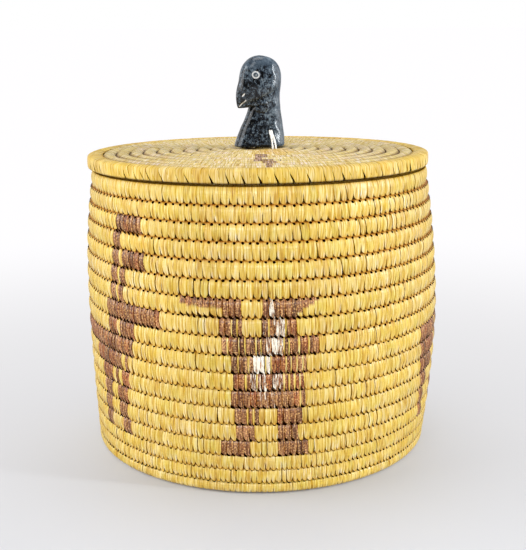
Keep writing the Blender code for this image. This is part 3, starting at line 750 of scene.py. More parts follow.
def grass_material(name, roughness, specular, sheen, contrast=1.0):
    """Split, flattened grass: satin, with fine fibres along the strand and worn, bleached flecks."""
    made = bpy.data.materials.new(name)
    made.use_nodes = True
    nodes, links = made.node_tree.nodes, made.node_tree.links
    shader = nodes["Principled BSDF"]

    def attribute(key, output):
        node = nodes.new("ShaderNodeAttribute")
        node.attribute_name = key
        return node.outputs[output]

    tint, wear, dye = attribute("tint", "Color"), attribute("wear", "Fac"), attribute("dye", "Fac")
    uv = nodes.new("ShaderNodeUVMap")
    uv.uv_map = "strand"
    uv = uv.outputs["UV"]
    fibre = noise_node(nodes, links, uv, (1.6, 0.085, 1.0), 1.5, 0.5)
    fine = noise_node(nodes, links, uv, (3.0, 0.16, 1.0), 1.0, 0.5)
    streaks = math_node(nodes, links, "MULTIPLY_ADD", fine, 0.25, math_node(nodes, links, "MULTIPLY", fibre, 0.75))
    fibres = ramp_node(nodes, links, streaks, [
        (0.38, (0.70, 0.56, 0.30)), (0.45, (0.90, 0.84, 0.62)), (0.50, (0.97, 0.97, 0.95)),
        (0.54, (1.03, 1.10, 1.50)), (0.60, (1.10, 1.26, 2.60))])
    body = mix_node(nodes, links, contrast, tint, fibres, "MULTIPLY")

    def hairline(value, level, width):
        """1 along the lines where the value passes the level: thin lines that follow the grass."""
        away = math_node(nodes, links, "ABSOLUTE", math_node(nodes, links, "SUBTRACT", value, level))
        return math_node(nodes, links, "MULTIPLY_ADD", away, -1.0 / width, 1.0, clamp=True)

    split = noise_node(nodes, links, uv, (0.85, 0.035, 1.0), 1.0, 0.5)
    crease = math_node(nodes, links, "MULTIPLY", hairline(split, 0.46, 0.045), 0.60 * contrast)
    body = mix_node(nodes, links, crease, body, mix_node(nodes, links, 1.0, body, (0.50, 0.34, 0.14), "MULTIPLY"))
    # dyed strands keep thin undyed fibres, and have dark ones
    specks = noise_node(nodes, links, uv, (1.40, 1.05, 1.0), 1.0, 0.5)
    spots = math_node(nodes, links, "MULTIPLY_ADD", specks, 0.62, math_node(nodes, links, "MULTIPLY", fibre, 0.38))
    pale = math_node(nodes, links, "MULTIPLY_ADD", spots, 22.0, -11.95, clamp=True)
    pale = math_node(nodes, links, "MAXIMUM", pale, math_node(nodes, links, "MULTIPLY", hairline(split, 0.55, 0.045), 0.40))
    pale = math_node(nodes, links, "MULTIPLY", pale, math_node(nodes, links, "MULTIPLY", dye, 0.80))
    body = mix_node(nodes, links, pale, body, lin(232, 182, 114))
    deep = math_node(nodes, links, "MULTIPLY_ADD", spots, -22.0, 9.95, clamp=True)
    deep = math_node(nodes, links, "MAXIMUM", deep, math_node(nodes, links, "MULTIPLY", hairline(split, 0.47, 0.060), 0.90))
    deep = math_node(nodes, links, "MULTIPLY", deep, math_node(nodes, links, "MULTIPLY", dye, 0.85))
    body = mix_node(nodes, links, deep, body, lin(62, 24, 4))
    # bleached flecks
    flecks = noise_node(nodes, links, uv, (1.9, 0.16, 1.0), 3.0, 0.7)
    reach = math_node(nodes, links, "SUBTRACT", math_node(nodes, links, "MULTIPLY_ADD", wear, 0.42, 0.20), flecks)
    sharp = math_node(nodes, links, "MULTIPLY_ADD", reach, 12.0, 0.5, clamp=True)
    gate = math_node(nodes, links, "GREATER_THAN", wear, 0.02)
    body = mix_node(nodes, links, math_node(nodes, links, "MULTIPLY", sharp, gate), body, CREAM)
    links.new(body, shader.inputs["Base Color"])
    shader.inputs["Specular IOR Level"].default_value = specular
    if specular == 0.0:
        shader.inputs["Roughness"].default_value = roughness
        return made
    rough = nodes.new("ShaderNodeMapRange")
    rough.inputs["From Min"].default_value = 0.42
    rough.inputs["From Max"].default_value = 0.58
    rough.inputs["To Min"].default_value = roughness + 0.22
    rough.inputs["To Max"].default_value = roughness - 0.08
    links.new(fibre, rough.inputs["Value"])
    links.new(rough.outputs["Result"], shader.inputs["Roughness"])
    # flattened grass shines in a band across its fibres
    shader.inputs["Anisotropic"].default_value = sheen
    tangent = nodes.new("ShaderNodeTangent")
    tangent.direction_type = "UV_MAP"
    tangent.uv_map = "strand"
    links.new(tangent.outputs["Tangent"], shader.inputs["Tangent"])
    bump = nodes.new("ShaderNodeBump")
    bump.inputs["Strength"].default_value = 0.5
    bump.inputs["Distance"].default_value = 0.00012
    links.new(streaks, bump.inputs["Height"])
    links.new(bump.outputs["Normal"], shader.inputs["Normal"])
    return made


GRASS_WALL = grass_material("sewn_grass_wall", 0.35, 0.50, 0.85)
GRASS_LID = grass_material("sewn_grass_lid", 0.46, 0.34, 0.60, 0.80)
GRASS_BASE = grass_material("sewn_grass_base", 0.55, 0.30, 0.60)
GRASS_INSIDE = grass_material("grass_edges_and_inside", 1.0, 0.0, 0.0)


def new_object(name, mesh, material, matrix=None, inside=None):
    made = bpy.data.objects.new(name, mesh)
    mesh.materials.append(material)
    if inside is not None:
        mesh.materials.append(inside)
    if matrix is not None:
        mesh.transform(matrix)
    bpy.context.scene.collection.objects.link(made)
    return made


def belongs(made, node, body):
    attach(made, body)
    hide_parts(node)
    return made


def stitched(name, frame_of, start, end, plan, the_look, rng, material, node, body,
             route=ROUTE, floor=None, matrix=None, shade=None):
    pile = Pile()
    lay_core(pile, frame_of, start, end, floor=floor)
    lay_strands(pile, frame_of, plan, rng, the_look, route, floor, cell=(0.035, 1.0))
    if shade is not None:
        pile.tint = [tint * shade(v) for tint, v in zip(pile.tint, pile.v)]
    return belongs(new_object(name, pile.mesh(name), material, matrix, GRASS_INSIDE), node, body)


# ------------------------------------------------------------------ camera, light, floor
scene = bpy.context.scene
scene.view_settings.view_transform = "Standard"
scene.view_settings.look = "None"

camera_data = bpy.data.cameras.new("camera")
camera = bpy.data.objects.new("camera", camera_data)
scene.collection.objects.link(camera)
camera_data.sensor_width = 36.0
camera_data.lens = 1059.5 * 36.0 / 550.0
camera_data.clip_start, camera_data.clip_end = 0.02, 50.0
camera.matrix_world = (Matrix.Translation((0.00054, -0.6134, 0.2489))
                       @ Matrix.Rotation(math.radians(90.0) - 0.2459, 4, "X")
                       @ Matrix.Rotation(-0.0052, 4, "Z"))
scene.camera = camera

# a white backdrop in a room that is darker overhead and in front of the object
world = bpy.data.worlds.new("studio")
world.use_nodes = True
wn, wl = world.node_tree.nodes, world.node_tree.links
direction = wn.new("ShaderNodeTexCoord")
split = wn.new("ShaderNodeSeparateXYZ")
wl.new(direction.outputs["Generated"], split.inputs["Vector"])
rise = wn.new("ShaderNodeMapRange")
rise.interpolation_type = "SMOOTHSTEP"
rise.inputs["From Min"].default_value = 0.04
rise.inputs["From Max"].default_value = 0.30
rise.inputs["To Min"].default_value = 1.0
rise.inputs["To Max"].default_value = 0.42
wl.new(split.outputs["Z"], rise.inputs["Value"])
ahead = wn.new("ShaderNodeMapRange")
ahead.interpolation_type = "SMOOTHSTEP"
ahead.inputs["From Min"].default_value = -0.55
ahead.inputs["From Max"].default_value = 0.15
ahead.inputs["To Min"].default_value = 0.30
ahead.inputs["To Max"].default_value = 1.0
wl.new(split.outputs["Y"], ahead.inputs["Value"])
both = wn.new("ShaderNodeMath")
both.operation = "MULTIPLY"
wl.new(rise.outputs["Result"], both.inputs[0])
wl.new(ahead.outputs["Result"], both.inputs[1])
wl.new(both.outputs["Value"], wn["Background"].inputs["Strength"])
wn["Background"].inputs["Color"].default_value = (1.0, 1.0, 1.0, 1.0)
scene.world = world


def softbox(name, place, target, size, power, colour=(1.0, 1.0, 1.0)):
    data = bpy.data.lights.new(name, "AREA")
    data.shape = "RECTANGLE"
    data.size, data.size_y = size
    data.energy = power
    data.color = colour
    made = bpy.data.objects.new(name, data)
    made.location = place
    made.rotation_euler = (Vector(target) - Vector(place)).to_track_quat("-Z", "Y").to_euler()
    scene.collection.objects.link(made)
    return made


band = softbox("band", (-0.10, -1.60, 0.46), (0.0, 0.0, 0.10), (1.8, 0.24), 14.0)
softbox("key", (-0.30, -1.00, 1.30), (0.0, 0.0, 0.09), (0.8, 0.6), 4.8)
softbox("right", (1.20, -0.42, 0.55), (0.0, 0.0, 0.15), (0.10, 0.7), 9.5, (0.93, 0.97, 1.0))
softbox("right fill", (1.40, 0.10, 0.50), (0.0, 0.0, 0.10), (0.9, 0.9), 6.0)
softbox("left", (-1.40, -0.15, 0.60), (0.0, 0.0, 0.10), (1.2, 1.2), 16.0)
softbox("above", (-0.05, 0.25, 1.60), (0.0, 0.0, 0.10), (0.9, 0.9), 8.5)

# a wide round floor; far away it turns into the white of the studio
floor_mesh = bpy.data.meshes.new("studio_floor")
floor_bm = bmesh.new()
bmesh.ops.create_circle(floor_bm, cap_ends=True, segments=96, radius=14.0)
floor_bm.to_mesh(floor_mesh)
floor_bm.free()
floor_material = bpy.data.materials.new("pale_floor")
floor_material.use_nodes = True
fn, fl = floor_material.node_tree.nodes, floor_material.node_tree.links
floor_shader = fn["Principled BSDF"]
floor_shader.inputs["Base Color"].default_value = (0.580, 0.587, 0.616, 1.0)
floor_shader.inputs["Roughness"].default_value = 0.6
floor_shader.inputs["Specular IOR Level"].default_value = 0.2
where = fn.new("ShaderNodeTexCoord")
reach = fn.new("ShaderNodeVectorMath")
reach.operation = "DISTANCE"
fl.new(where.outputs["Object"], reach.inputs[0])
reach.inputs[1].default_value = (0.0, -0.15, 0.0)
fade = fn.new("ShaderNodeMapRange")
fade.interpolation_type = "SMOOTHSTEP"
fade.inputs["From Min"].default_value = 0.02
fade.inputs["From Max"].default_value = 0.32
fl.new(reach.outputs["Value"], fade.inputs["Value"])
glow = fn.new("ShaderNodeEmission")
glow.inputs["Color"].default_value = (0.990, 0.982, 1.0, 1.0)
far = fn.new("ShaderNodeMapRange")
far.interpolation_type = "SMOOTHSTEP"
far.inputs["From Min"].default_value = 0.22
far.inputs["From Max"].default_value = 0.76
far.inputs["To Min"].default_value = 0.80
far.inputs["To Max"].default_value = 1.01
fl.new(reach.outputs["Value"], far.inputs["Value"])
fl.new(far.outputs["Result"], glow.inputs["Strength"])
# no glow under the basket itself
middle_reach = fn.new("ShaderNodeVectorMath")
middle_reach.operation = "LENGTH"
fl.new(where.outputs["Object"], middle_reach.inputs[0])
beneath = fn.new("ShaderNodeMapRange")
beneath.interpolation_type = "SMOOTHSTEP"
beneath.inputs["From Min"].default_value = 0.088
beneath.inputs["From Max"].default_value = 0.096
fl.new(middle_reach.outputs["Value"], beneath.inputs["Value"])
share = fn.new("ShaderNodeMath")
share.operation = "MULTIPLY"
fl.new(fade.outputs["Result"], share.inputs[0])
fl.new(beneath.outputs["Result"], share.inputs[1])
blend = fn.new("ShaderNodeMixShader")
fl.new(share.outputs["Value"], blend.inputs["Fac"])
fl.new(floor_shader.outputs["BSDF"], blend.inputs[1])
fl.new(glow.outputs["Emission"], blend.inputs[2])
fl.new(blend.outputs["Shader"], fn["Material Output"].inputs["Surface"])
floor_mesh.materials.append(floor_material)
floor = bpy.data.objects.new("studio_floor", floor_mesh)
floor.location = (0.0, 0.0, -0.0002)
scene.collection.objects.link(floor)

# ------------------------------------------------------------------ the wall
for k in range(1, WALL_COURSES + 1):
    start = -TAPER * STEP_ARC if k == 1 else float(k - 1)
    end = WALL_COURSES + TAPER * STEP_ARC if k == WALL_COURSES else float(k)
    changes = dict(holes=k > 1)
    if k <= 12:
        changes.update(tick_reach=0.85, open_share=0.07)
    if k == WALL_COURSES:
        # painted shade: the outer top of the rim, under the lid's edge, turns almost black
        changes.update(top_from=0.86, top_width=0.10, top_shade=0.97, top_outer=0.30, groove=(0.06, 0.014, 0.004), warm_top=0.6,
                       dull_top=True)
    rng = np.random.default_rng(1000 + k)
    stitched(f"stitched_course_{k:02d}", wall_frame, start, end, wall_plan(k, start, end, rng), look(**changes),
             rng, GRASS_WALL, f"wall_course_{k:02d}", "basket",
             route=ROUTE_WRAP if k == 1 else ROUTE, floor=0.0001 if k == 1 else None)

# ------------------------------------------------------------------ the base
BASE_MIX = [(GOLD * 0.85, 0.4), (STRAW * 0.85, 0.35), (OCHRE * 0.9, 0.15), (OLIVE * 0.85, 0.10)]
rng = np.random.default_rng(2001)
b0, b1 = -TAPER * STEP_ARC, BASE_TURNS + TAPER * STEP_ARC
stitched("stitched_base", base_frame, b0, b1, plain_plan(base_frame, b0, b1, 0.0040, rng, BASE_MIX),
         look(full=0.0034), rng, GRASS_BASE, "base_coil", "basket", floor=0.0001)

# ------------------------------------------------------------------ the lid
LID_MIX = [(LID_STRAW, 0.36), (LID_PALE, 0.26), (LID_GREY, 0.22), (LID_ROSE, 0.16)]
EDGE_MIX = [(GOLD * 0.90, 0.22), (STRAW * 0.92, 0.42), (PALE * 0.94, 0.28), (OCHRE * 0.90, 0.08)]


def on_lid_patch(x, y):
    """Two small patches of dyed stitches at the front of the lid."""
    return (-0.067 < y < -0.038 and -0.0014 < x < 0.0038) or (-0.088 < y < -0.062 and 0.0036 < x < 0.0082)


rng = np.random.default_rng(3001)
l0, l1 = -TAPER * STEP_ARC, LID_TURNS + TAPER * STEP_ARC
lid_plan = plain_plan(lid_coil_frame, l0, l1, 0.0035, rng, LID_MIX, 1.0, 0.035, on_lid_patch)


def lid_shade(v):
    """Painted contact shadow along the front of the stone's foot, darkest towards the left; golden in front of it on
    the right.
    """
    x, y = v[:, 0], v[:, 1]
    tx = x * math.cos(FINIAL_YAW) + y * math.sin(FINIAL_YAW)
    ty = y * math.cos(FINIAL_YAW) - x * math.sin(FINIAL_YAW)
    beyond = np.hypot(np.maximum(np.abs(tx - 1.2e-3) - 13.2e-3, 0.0), np.maximum(np.abs(ty) - 7.2e-3, 0.0)) - 1.4e-3
    # painted contact shadow in front of the stone's foot
    contact_shadow = (1.0 - smooth((beyond - 0.4e-3) / 3.0e-3)) * (0.25 + 0.70 * smooth((7.0e-3 - tx) / 8.0e-3))
    contact_shadow = contact_shadow * smooth((-ty - 2.0e-3) / 3.0e-3) * smooth((tx + 13.5e-3) / 2.0e-3)
    out = 1.0 - contact_shadow[:, None] * np.array([0.96, 0.98, 0.99])
    gold = smooth(1.35 * (1.0 - np.hypot((x - 0.009) / 0.017, (y + 0.024) / 0.024)))[:, None] * 0.9
    return out * (1.0 - gold + np.array([1.02, 0.88, 0.58]) * gold)


# painted shade in the grooves between the lid's turns (top_shade and groove)
stitched("stitched_lid", lid_coil_frame, l0, l1, lid_plan,
         look(full=0.0034, notch=(0.5, 0.9), open_share=0.03, tick_reach=0.5, top_from=0.62, top_width=0.22, top_shade=0.92,
              groove=(0.26, 0.16, 0.08), warm=0.6, warm_top=0.4, tip=(0.88, 0.14), tip_lean=0.05, edge_shade=0.35),
         rng, GRASS_LID, "lid_coil", "lid", route=ROUTE_LID, matrix=LID_MATRIX, shade=lid_shade)
edge_frame = ring_frame(LID_EDGE_RADIUS - 0.5 * LID_EDGE_WIDTH, 0.5 * LID_EDGE_HEIGHT + 0.0001, 0.5 * LID_EDGE_HEIGHT,
                        0.5 * LID_EDGE_WIDTH, (0.0, 1.0), (1.0, 0.0))
rng = np.random.default_rng(3002)
stitched("stitched_lid_edge", edge_frame, 0.0, 1.0, plain_plan(edge_frame, 0.0, 1.0, 0.0042, rng, EDGE_MIX, 3.0, 0.035),
         look(fan=0.00034, slant=0.46, notch=(0.5, 0.9), top_shade=0.0, foot_shade=0.98, warm=0.3, warm_top=0.0,
              open_share=0.05, tick_reach=0.2, dull_foot=True),
         rng, GRASS_LID, "lid_edge_course", "lid", route=ROUTE_EDGE, matrix=LID_MATRIX)
flange_top = lid_height(FLANGE_RADIUS) - 0.5 * LID_COIL_HEIGHT - GAP
for n in (1, 2):
    centre_z = flange_top - (n - 0.5) * FLANGE_THICK - (n - 1) * GAP
    ring = ring_frame(FLANGE_RADIUS, centre_z, 0.5 * FLANGE_THICK, 0.5 * FLANGE_THICK, (1.0, 0.0), (0.0, -1.0))
    rng = np.random.default_rng(3002 + n)
    stitched(f"stitched_lid_ring_{n}", ring, 0.0, 1.0, plain_plan(ring, 0.0, 1.0, 0.0039, rng, EDGE_MIX, 2.0),
             look(top_shade=0.2), rng, GRASS_LID, f"lid_flange_course_{n}", "lid", matrix=LID_MATRIX)


# ------------------------------------------------------------------ start knots
def start_knot(name, radius, half_height, place, node, body, material, matrix=None):
    """A tight knot of grass: strands wound over one another round a small button."""
    pile = Pile()
    n, m = 56, 29
    a = np.linspace(0.0, 2.0 * math.pi, n + 1)[:, None]
    b = np.linspace(-0.5 * math.pi, 0.5 * math.pi, m)[None, :]
    swirl = a * 7.0 + 3.2 * np.sin(b * 1.5)
    groove = np.abs(np.sin(0.5 * swirl)) ** 0.6
    r = radius * (0.90 + 0.09 * groove)
    p = stack(r * np.cos(b) * np.cos(a), r * np.cos(b) * np.sin(a), half_height * 0.97 * np.sin(b) + 0 * a)
    p = p + np.array(place)
    i = np.arange(n)[:, None] * m + np.arange(m - 1)[None, :]
    faces = np.stack([i, i + m, i + m + 1, i + 1], -1)
    # painted shade: darker down in the grooves between the wound strands
    tint = (STRAW * 0.5 + GOLD * 0.4)[None, None, :] * (0.45 + 0.55 * groove)[..., None] * np.ones((n + 1, m, 1))
    uv = np.stack(np.broadcast_arrays(swirl * 3.0, b * 6.0), -1)
    bake = np.stack(np.broadcast_arrays(a / (2.0 * math.pi) * 0.98 + 0.01, (b / math.pi + 0.5) * 0.98 + 0.01), -1)
    pile.add(p, faces, tint, np.zeros(p.shape[:-1]), np.zeros(p.shape[:-1]), uv, bake)
    return belongs(new_object(name, pile.mesh(name), material, matrix), node, body)


start_knot("knotted_base_start", BASE_KNOT_RADIUS, 0.5 * BASE_HEIGHT, (BELLY_LEAN[0], 0.0, 0.5 * BASE_HEIGHT),
           "base_start_knot", "basket", GRASS_BASE)
start_knot("knotted_lid_start", LID_KNOT_RADIUS, 0.5 * LID_COIL_HEIGHT, (0.0, 0.0, float(lid_height(0.0))),
           "lid_start_knot", "lid", GRASS_LID, LID_MATRIX)

# ------------------------------------------------------------------ the stone: a carved bird's head
# Pairs of outline points, millimetres, from the foot to the crown: left x, left height,
# right x, right height, half depth, how far the left (beak) side is pinched.
STONE_ROWS = np.array([
    (-13.3, 0.0, 15.4, 0.0, 8.4, 0.00), (-13.5, 0.6, 15.8, 0.7, 8.6, 0.00), (-13.0, 2.4, 15.8, 2.6, 8.45, 0.00),
    (-11.3, 6.7, 15.6, 6.7, 8.0, 0.00), (-9.6, 10.7, 15.05, 10.7, 7.6, 0.03), (-7.6, 14.7, 14.5, 14.5, 7.35, 0.06),
    (-5.9, 18.7, 13.9, 18.2, 7.15, 0.10), (-4.9, 21.7, 13.5, 21.0, 7.1, 0.12), (-4.6, 22.9, 13.4, 22.6, 7.15, 0.16),
    (-5.5, 23.6, 13.3, 24.0, 7.2, 0.34), (-8.2, 23.2, 13.25, 25.2, 7.3, 0.58), (-10.3, 22.2, 13.2, 26.4, 7.4, 0.72),
    (-11.5, 22.0, 13.2, 27.6, 7.5, 0.75), (-12.25, 23.6, 13.2, 28.8, 7.6, 0.74), (-12.65, 26.8, 13.3, 30.4, 7.75, 0.70),
    (-12.6, 30.0, 13.6, 32.4, 7.9, 0.62), (-11.9, 33.4, 13.85, 34.8, 8.05, 0.52), (-10.8, 36.9, 14.0, 37.4, 8.1, 0.42),
    (-10.1, 40.2, 14.0, 40.3, 8.0, 0.30), (-9.3, 43.2, 13.4, 43.2, 7.7, 0.20), (-7.9, 46.0, 12.2, 46.0, 7.1, 0.12),
    (-5.9, 48.3, 10.2, 48.4, 6.1, 0.06), (-3.6, 50.0, 7.4, 50.1, 4.5, 0.02), (-1.2, 51.0, 4.4, 51.0, 2.6, 0.0),
    (1.0, 51.4, 2.0, 51.4, 0.5, 0.0)])
EYE, NOSTRIL = (-3.2, 40.6), (-9.6, 29.4)
MOUTH = ((-11.2, 23.0), (-8.4, 26.4))
JAW = ((-9.8, 24.6), (-7.6, 25.0), (-5.4, 25.6), (-2.8, 26.4), (-0.1, 27.7), (2.5, 29.1), (6.0, 30.7), (8.2, 31.8), (9.8, 33.6))
CHIN, CHIN_R = (0.2, 22.9), 3.8


def rows_between(rows, steps):
    out = []
    for i in range(len(rows) - 1):
        p0, p1, p2, p3 = rows[max(i - 1, 0)], rows[i], rows[i + 1], rows[min(i + 2, len(rows) - 1)]
        for k in range(steps):
            t = k / steps
            out.append(0.5 * (2 * p1 + (p2 - p0) * t + (2 * p0 - 5 * p1 + 4 * p2 - p3) * t * t
                              + (3 * p1 - p0 - 3 * p2 + p3) * t ** 3))
    out.append(rows[-1])
    return np.array(out)


def distance_to(x, h, points):
    best = np.full(x.shape, 1e9)
    for (x0, h0), (x1, h1) in zip(points, points[1:]):
        dx, dh = x1 - x0, h1 - h0
        t = np.clip(((x - x0) * dx + (h - h0) * dh) / (dx * dx + dh * dh), 0.0, 1.0)
        best = np.minimum(best, np.hypot(x - x0 - t * dx, h - h0 - t * dh))
    return best


def stone_mesh():
    rows = rows_between(STONE_ROWS, 9)
    around = 260
    a = 2.0 * math.pi * (np.arange(around) + 0.5) / around
    c, s = np.cos(a), np.sin(a)
    power = 2.0 / 2.8
    c, s = np.sign(c) * np.abs(c) ** power, np.sign(s) * np.abs(s) ** power
    lx, lh, rx, rh, depth, pinch = [rows[:, i][:, None] for i in range(6)]
    share = 0.5 * (1.0 + c)[None, :]
    x = lx + (rx - lx) * share
    h = lh + (rh - lh) * smooth(share)
    y = depth * s[None, :] * (1.0 - pinch * np.maximum(0.0, -c)[None, :] ** 1.2)
    # carved relief: brow and cheek stand over the neck, a rounded chin between jaw line and throat
    side = np.clip(np.abs(y) / 2.5, 0.0, 1.0)
    jaw_x = np.array([p[0] for p in JAW])
    jaw_h = np.array([p[1] for p in JAW])
    over = h - np.interp(x, jaw_x, jaw_h)
    inward = smooth((x + 11.5) / 2.5) * smooth((11.5 - x) / 3.0)
    raised = 0.85 * smooth((over + 0.15) / 1.0) * smooth((47.0 - h) / 14.0) * inward
    chin_d = np.hypot((x - CHIN[0]) / 1.15, h - CHIN[1])
    raised = raised + 0.95 * np.sqrt(np.clip(1.0 - (chin_d / CHIN_R) ** 2, 0.0, 1.0)) * (1.0 - smooth((over + 0.15) / 0.6))
    groove = (0.30 * np.exp(-((over + 0.35) / 0.45) ** 2) * inward * (x < 9.8)
              + 0.20 * np.exp(-((chin_d - CHIN_R) / 0.40) ** 2) * (over < 0))
    # the incised, whitened lines: eye ring, nostril, mouth
    eye_d = np.hypot((x - EYE[0]), (h - EYE[1]))
    ring = np.exp(-((eye_d - 1.74) / 0.33) ** 4)
    dot = np.exp(-(np.hypot(x - EYE[0] - 0.1, h - EYE[1] + 0.1) / 0.34) ** 2) * 0.55
    slit = np.exp(-(distance_to(x, h, ((NOSTRIL[0] - 0.35, NOSTRIL[1] - 0.6), (NOSTRIL[0] + 0.4, NOSTRIL[1] + 0.6))) / 0.34) ** 4)
    mouth = np.exp(-(distance_to(x, h, MOUTH) / 0.30) ** 4)
    mark = np.clip(ring + dot + slit + mouth, 0.0, 1.0) * (np.abs(y) > 0.6)
    depth_cut = groove + 0.22 * mark - 0.30 * np.exp(-(eye_d / 1.2) ** 2)
    push = (raised - depth_cut) * side
    y = y + np.sign(y) * push
    # slight unevenness of hand carving
    y = y + np.sign(y) * 0.10 * (np.sin(x * 0.9 + h * 0.35) * np.sin(h * 0.52 - x * 0.2)) * side
    # a band just above the jaw line, where the material paints a highlight
    line = np.exp(-((over - 0.9) / 0.9) ** 2) * inward * side
    # painted reflection and shade: darkest in front at the left and lighter on the crown and down the nape, where the
    # polished stone's reflections fall, smoother there too; and a painted contact shadow along the front-left of the
    # foot
    painted_reflection_and_shade = (0.012 * smooth((x - 2.0) / 8.0) + 0.022 * smooth((h - 41.0) / 6.0)
            - 0.034 * smooth((4.0 - x) / 8.0) * (1.0 - smooth((h - 36.0) / 8.0))
            - 0.14 * smooth((1.25 - h) / 0.5) * smooth((6.0 - x) / 3.0))
    calm =np.maximum(smooth((h - 42.0) / 5.0), smooth((x - 6.5) / 4.0))
    n, m = x.shape
    p = np.stack([x, y, h], -1).reshape(-1, 3) * 0.001
    i = np.arange(n - 1)[:, None] * m + np.arange(m)[None, :]
    j = np.arange(n - 1)[:, None] * m + (np.arange(m)[None, :] + 1) % m
    faces = np.stack([i, j, j + m, i + m], -1).reshape(-1, 4).tolist()
    faces.append(list(range(m - 1, -1, -1)))
    faces.append([(n - 1) * m + k for k in range(m)])
    mesh = bpy.data.meshes.new("carved_bird_head")
    mesh.from_pydata(p.tolist(), [], faces)
    layer = mesh.uv_layers.new(name="OFBake")
    uv = np.zeros((len(mesh.loops), 2), np.float32)
    corner = np.array([loop.vertex_index for loop in mesh.loops])
    ring_at, around_at = corner // m, corner % m
    u = around_at / m
    quads = (n - 1) * m
    uv[:, 0], uv[:, 1] = u, 0.005 + 0.90 * ring_at / (n - 1)
    wraps = np.repeat((np.arange(quads) % m) == m - 1, 4)
    first = np.where(wraps & (around_at[:quads * 4] == 0), 1.0, uv[:quads * 4, 0])
    uv[:quads * 4, 0] = 0.005 + 0.99 * first
    caps = uv[quads * 4:]
    angle = 2.0 * math.pi * around_at[quads * 4:] / m
    centre = np.where(np.arange(len(caps)) < m, 0.25, 0.75)
    caps[:, 0], caps[:, 1] = centre + 0.2 * np.cos(angle), 0.955 + 0.03 * np.sin(angle)
    layer.data.foreach_set("uv", uv.ravel())
    for key, values in (("mark", mark), ("line", line), ("painted_reflection_and_shade", painted_reflection_and_shade), ("calm", calm)):
        made = mesh.attributes.new(key, "FLOAT", "POINT")
        made.data.foreach_set("value", values.reshape(-1).astype(np.float32))
    mesh.update()
    mesh.shade_smooth()
    return mesh


def stone_material():
    made = bpy.data.materials.new("dark_mottled_stone")
    made.use_nodes = True
    nodes, links = made.node_tree.nodes, made.node_tree.links
    shader = nodes["Principled BSDF"]
    where = nodes.new("ShaderNodeTexCoord").outputs["Object"]
    def attribute(key):
        node = nodes.new("ShaderNodeAttribute")
        node.attribute_name = key
        return node.outputs["Fac"]

    cloud = noise_node(nodes, links, where, (110.0, 110.0, 90.0), 2.0, 0.5)
    blotch = noise_node(nodes, links, where, (560.0, 560.0, 480.0), 3.0, 0.6)
    grain = noise_node(nodes, links, where, (1300.0, 1300.0, 1100.0), 3.0, 0.7)
    specks = noise_node(nodes, links, where, (820.0, 820.0, 820.0), 2.0, 0.5)
    calm = attribute("calm")
    mottle = math_node(nodes, links, "MULTIPLY_ADD", grain, 0.42, math_node(nodes, links, "MULTIPLY", blotch, 0.58))
    mottle = math_node(nodes, links, "MULTIPLY", math_node(nodes, links, "SUBTRACT", mottle, 0.5),
                       math_node(nodes, links, "MULTIPLY_ADD", calm, -0.60, 0.84))
    shade = math_node(nodes, links, "ADD", mottle, math_node(nodes, links, "MULTIPLY_ADD", cloud, 0.16, 0.434))
    # painted reflection and shade added to the stone's mottle
    shade = math_node(nodes, links, "ADD", shade, attribute("painted_reflection_and_shade"))
    body = ramp_node(nodes, links, shade, [
        (0.43, tuple(lin(3, 4, 7))), (0.468, tuple(lin(10, 12, 17))), (0.50, tuple(lin(44, 52, 62))),
        (0.535, tuple(lin(70, 84, 98))), (0.61, tuple(lin(124, 138, 150)))])
    pale = math_node(nodes, links, "MULTIPLY_ADD", specks, 16.0, -10.2, clamp=True)
    pale = math_node(nodes, links, "MULTIPLY", pale, math_node(nodes, links, "MULTIPLY_ADD", calm, -0.5, 0.55))
    body = mix_node(nodes, links, pale, body, lin(156, 166, 172))

    # painted highlight: lighter olive-brown along the band above the jaw line, broken up by the blotches
    worn = math_node(nodes, links, "MULTIPLY", attribute("line"), math_node(nodes, links, "MULTIPLY_ADD", blotch, 5.0, -2.2, clamp=True))
    body = mix_node(nodes, links, math_node(nodes, links, "MULTIPLY", worn, 0.3), body, lin(104, 98, 76))
    body = mix_node(nodes, links, attribute("mark"), body, lin(252, 253, 254))
    links.new(body, shader.inputs["Base Color"])
    rough = nodes.new("ShaderNodeMapRange")
    rough.inputs["From Min"].default_value = 0.3
    rough.inputs["From Max"].default_value = 0.7
    rough.inputs["To Min"].default_value = 0.11
    rough.inputs["To Max"].default_value = 0.19
    links.new(blotch, rough.inputs["Value"])
    links.new(rough.outputs["Result"], shader.inputs["Roughness"])
    shader.inputs["Specular IOR Level"].default_value = 0.36
    bump = nodes.new("ShaderNodeBump")
    bump.inputs["Strength"].default_value = 0.13
    bump.inputs["Distance"].default_value = 0.0002
    links.new(grain, bump.inputs["Height"])
    links.new(bump.outputs["Normal"], shader.inputs["Normal"])
    return made


STONE = stone_material()
stone = new_object("carved_bird_head", stone_mesh(), STONE)
drill_mesh = bpy.data.meshes.new("drill")
drill_bm = bmesh.new()
bmesh.ops.create_cone(drill_bm, cap_ends=True, segments=40, radius1=HOLE_R, radius2=HOLE_R, depth=0.04,
                      matrix=Matrix.Translation((HOLE_X, 0.0, HOLE_Z)) @ Matrix.Rotation(math.radians(90.0), 4, "X"))
drill_bm.to_mesh(drill_mesh)
drill_bm.free()
drill = bpy.data.objects.new("drill", drill_mesh)
scene.collection.objects.link(drill)
drilled = stone.modifiers.new("drilled", "BOOLEAN")
drilled.operation = "DIFFERENCE"
drilled.object = drill
bpy.context.view_layer.update()
holed = bpy.data.meshes.new_from_object(stone.evaluated_get(bpy.context.evaluated_depsgraph_get()))
stone.modifiers.clear()
stone.data = holed
bpy.data.objects.remove(drill, do_unlink=True)
holed.transform(STONE_MATRIX @ Matrix.Translation((0.0, 0.0, FINIAL_FOOT)))
holed.shade_smooth()
holed.set_sharp_from_angle(angle=math.radians(55.0))
belongs(stone, "finial_bird_head", "lid")


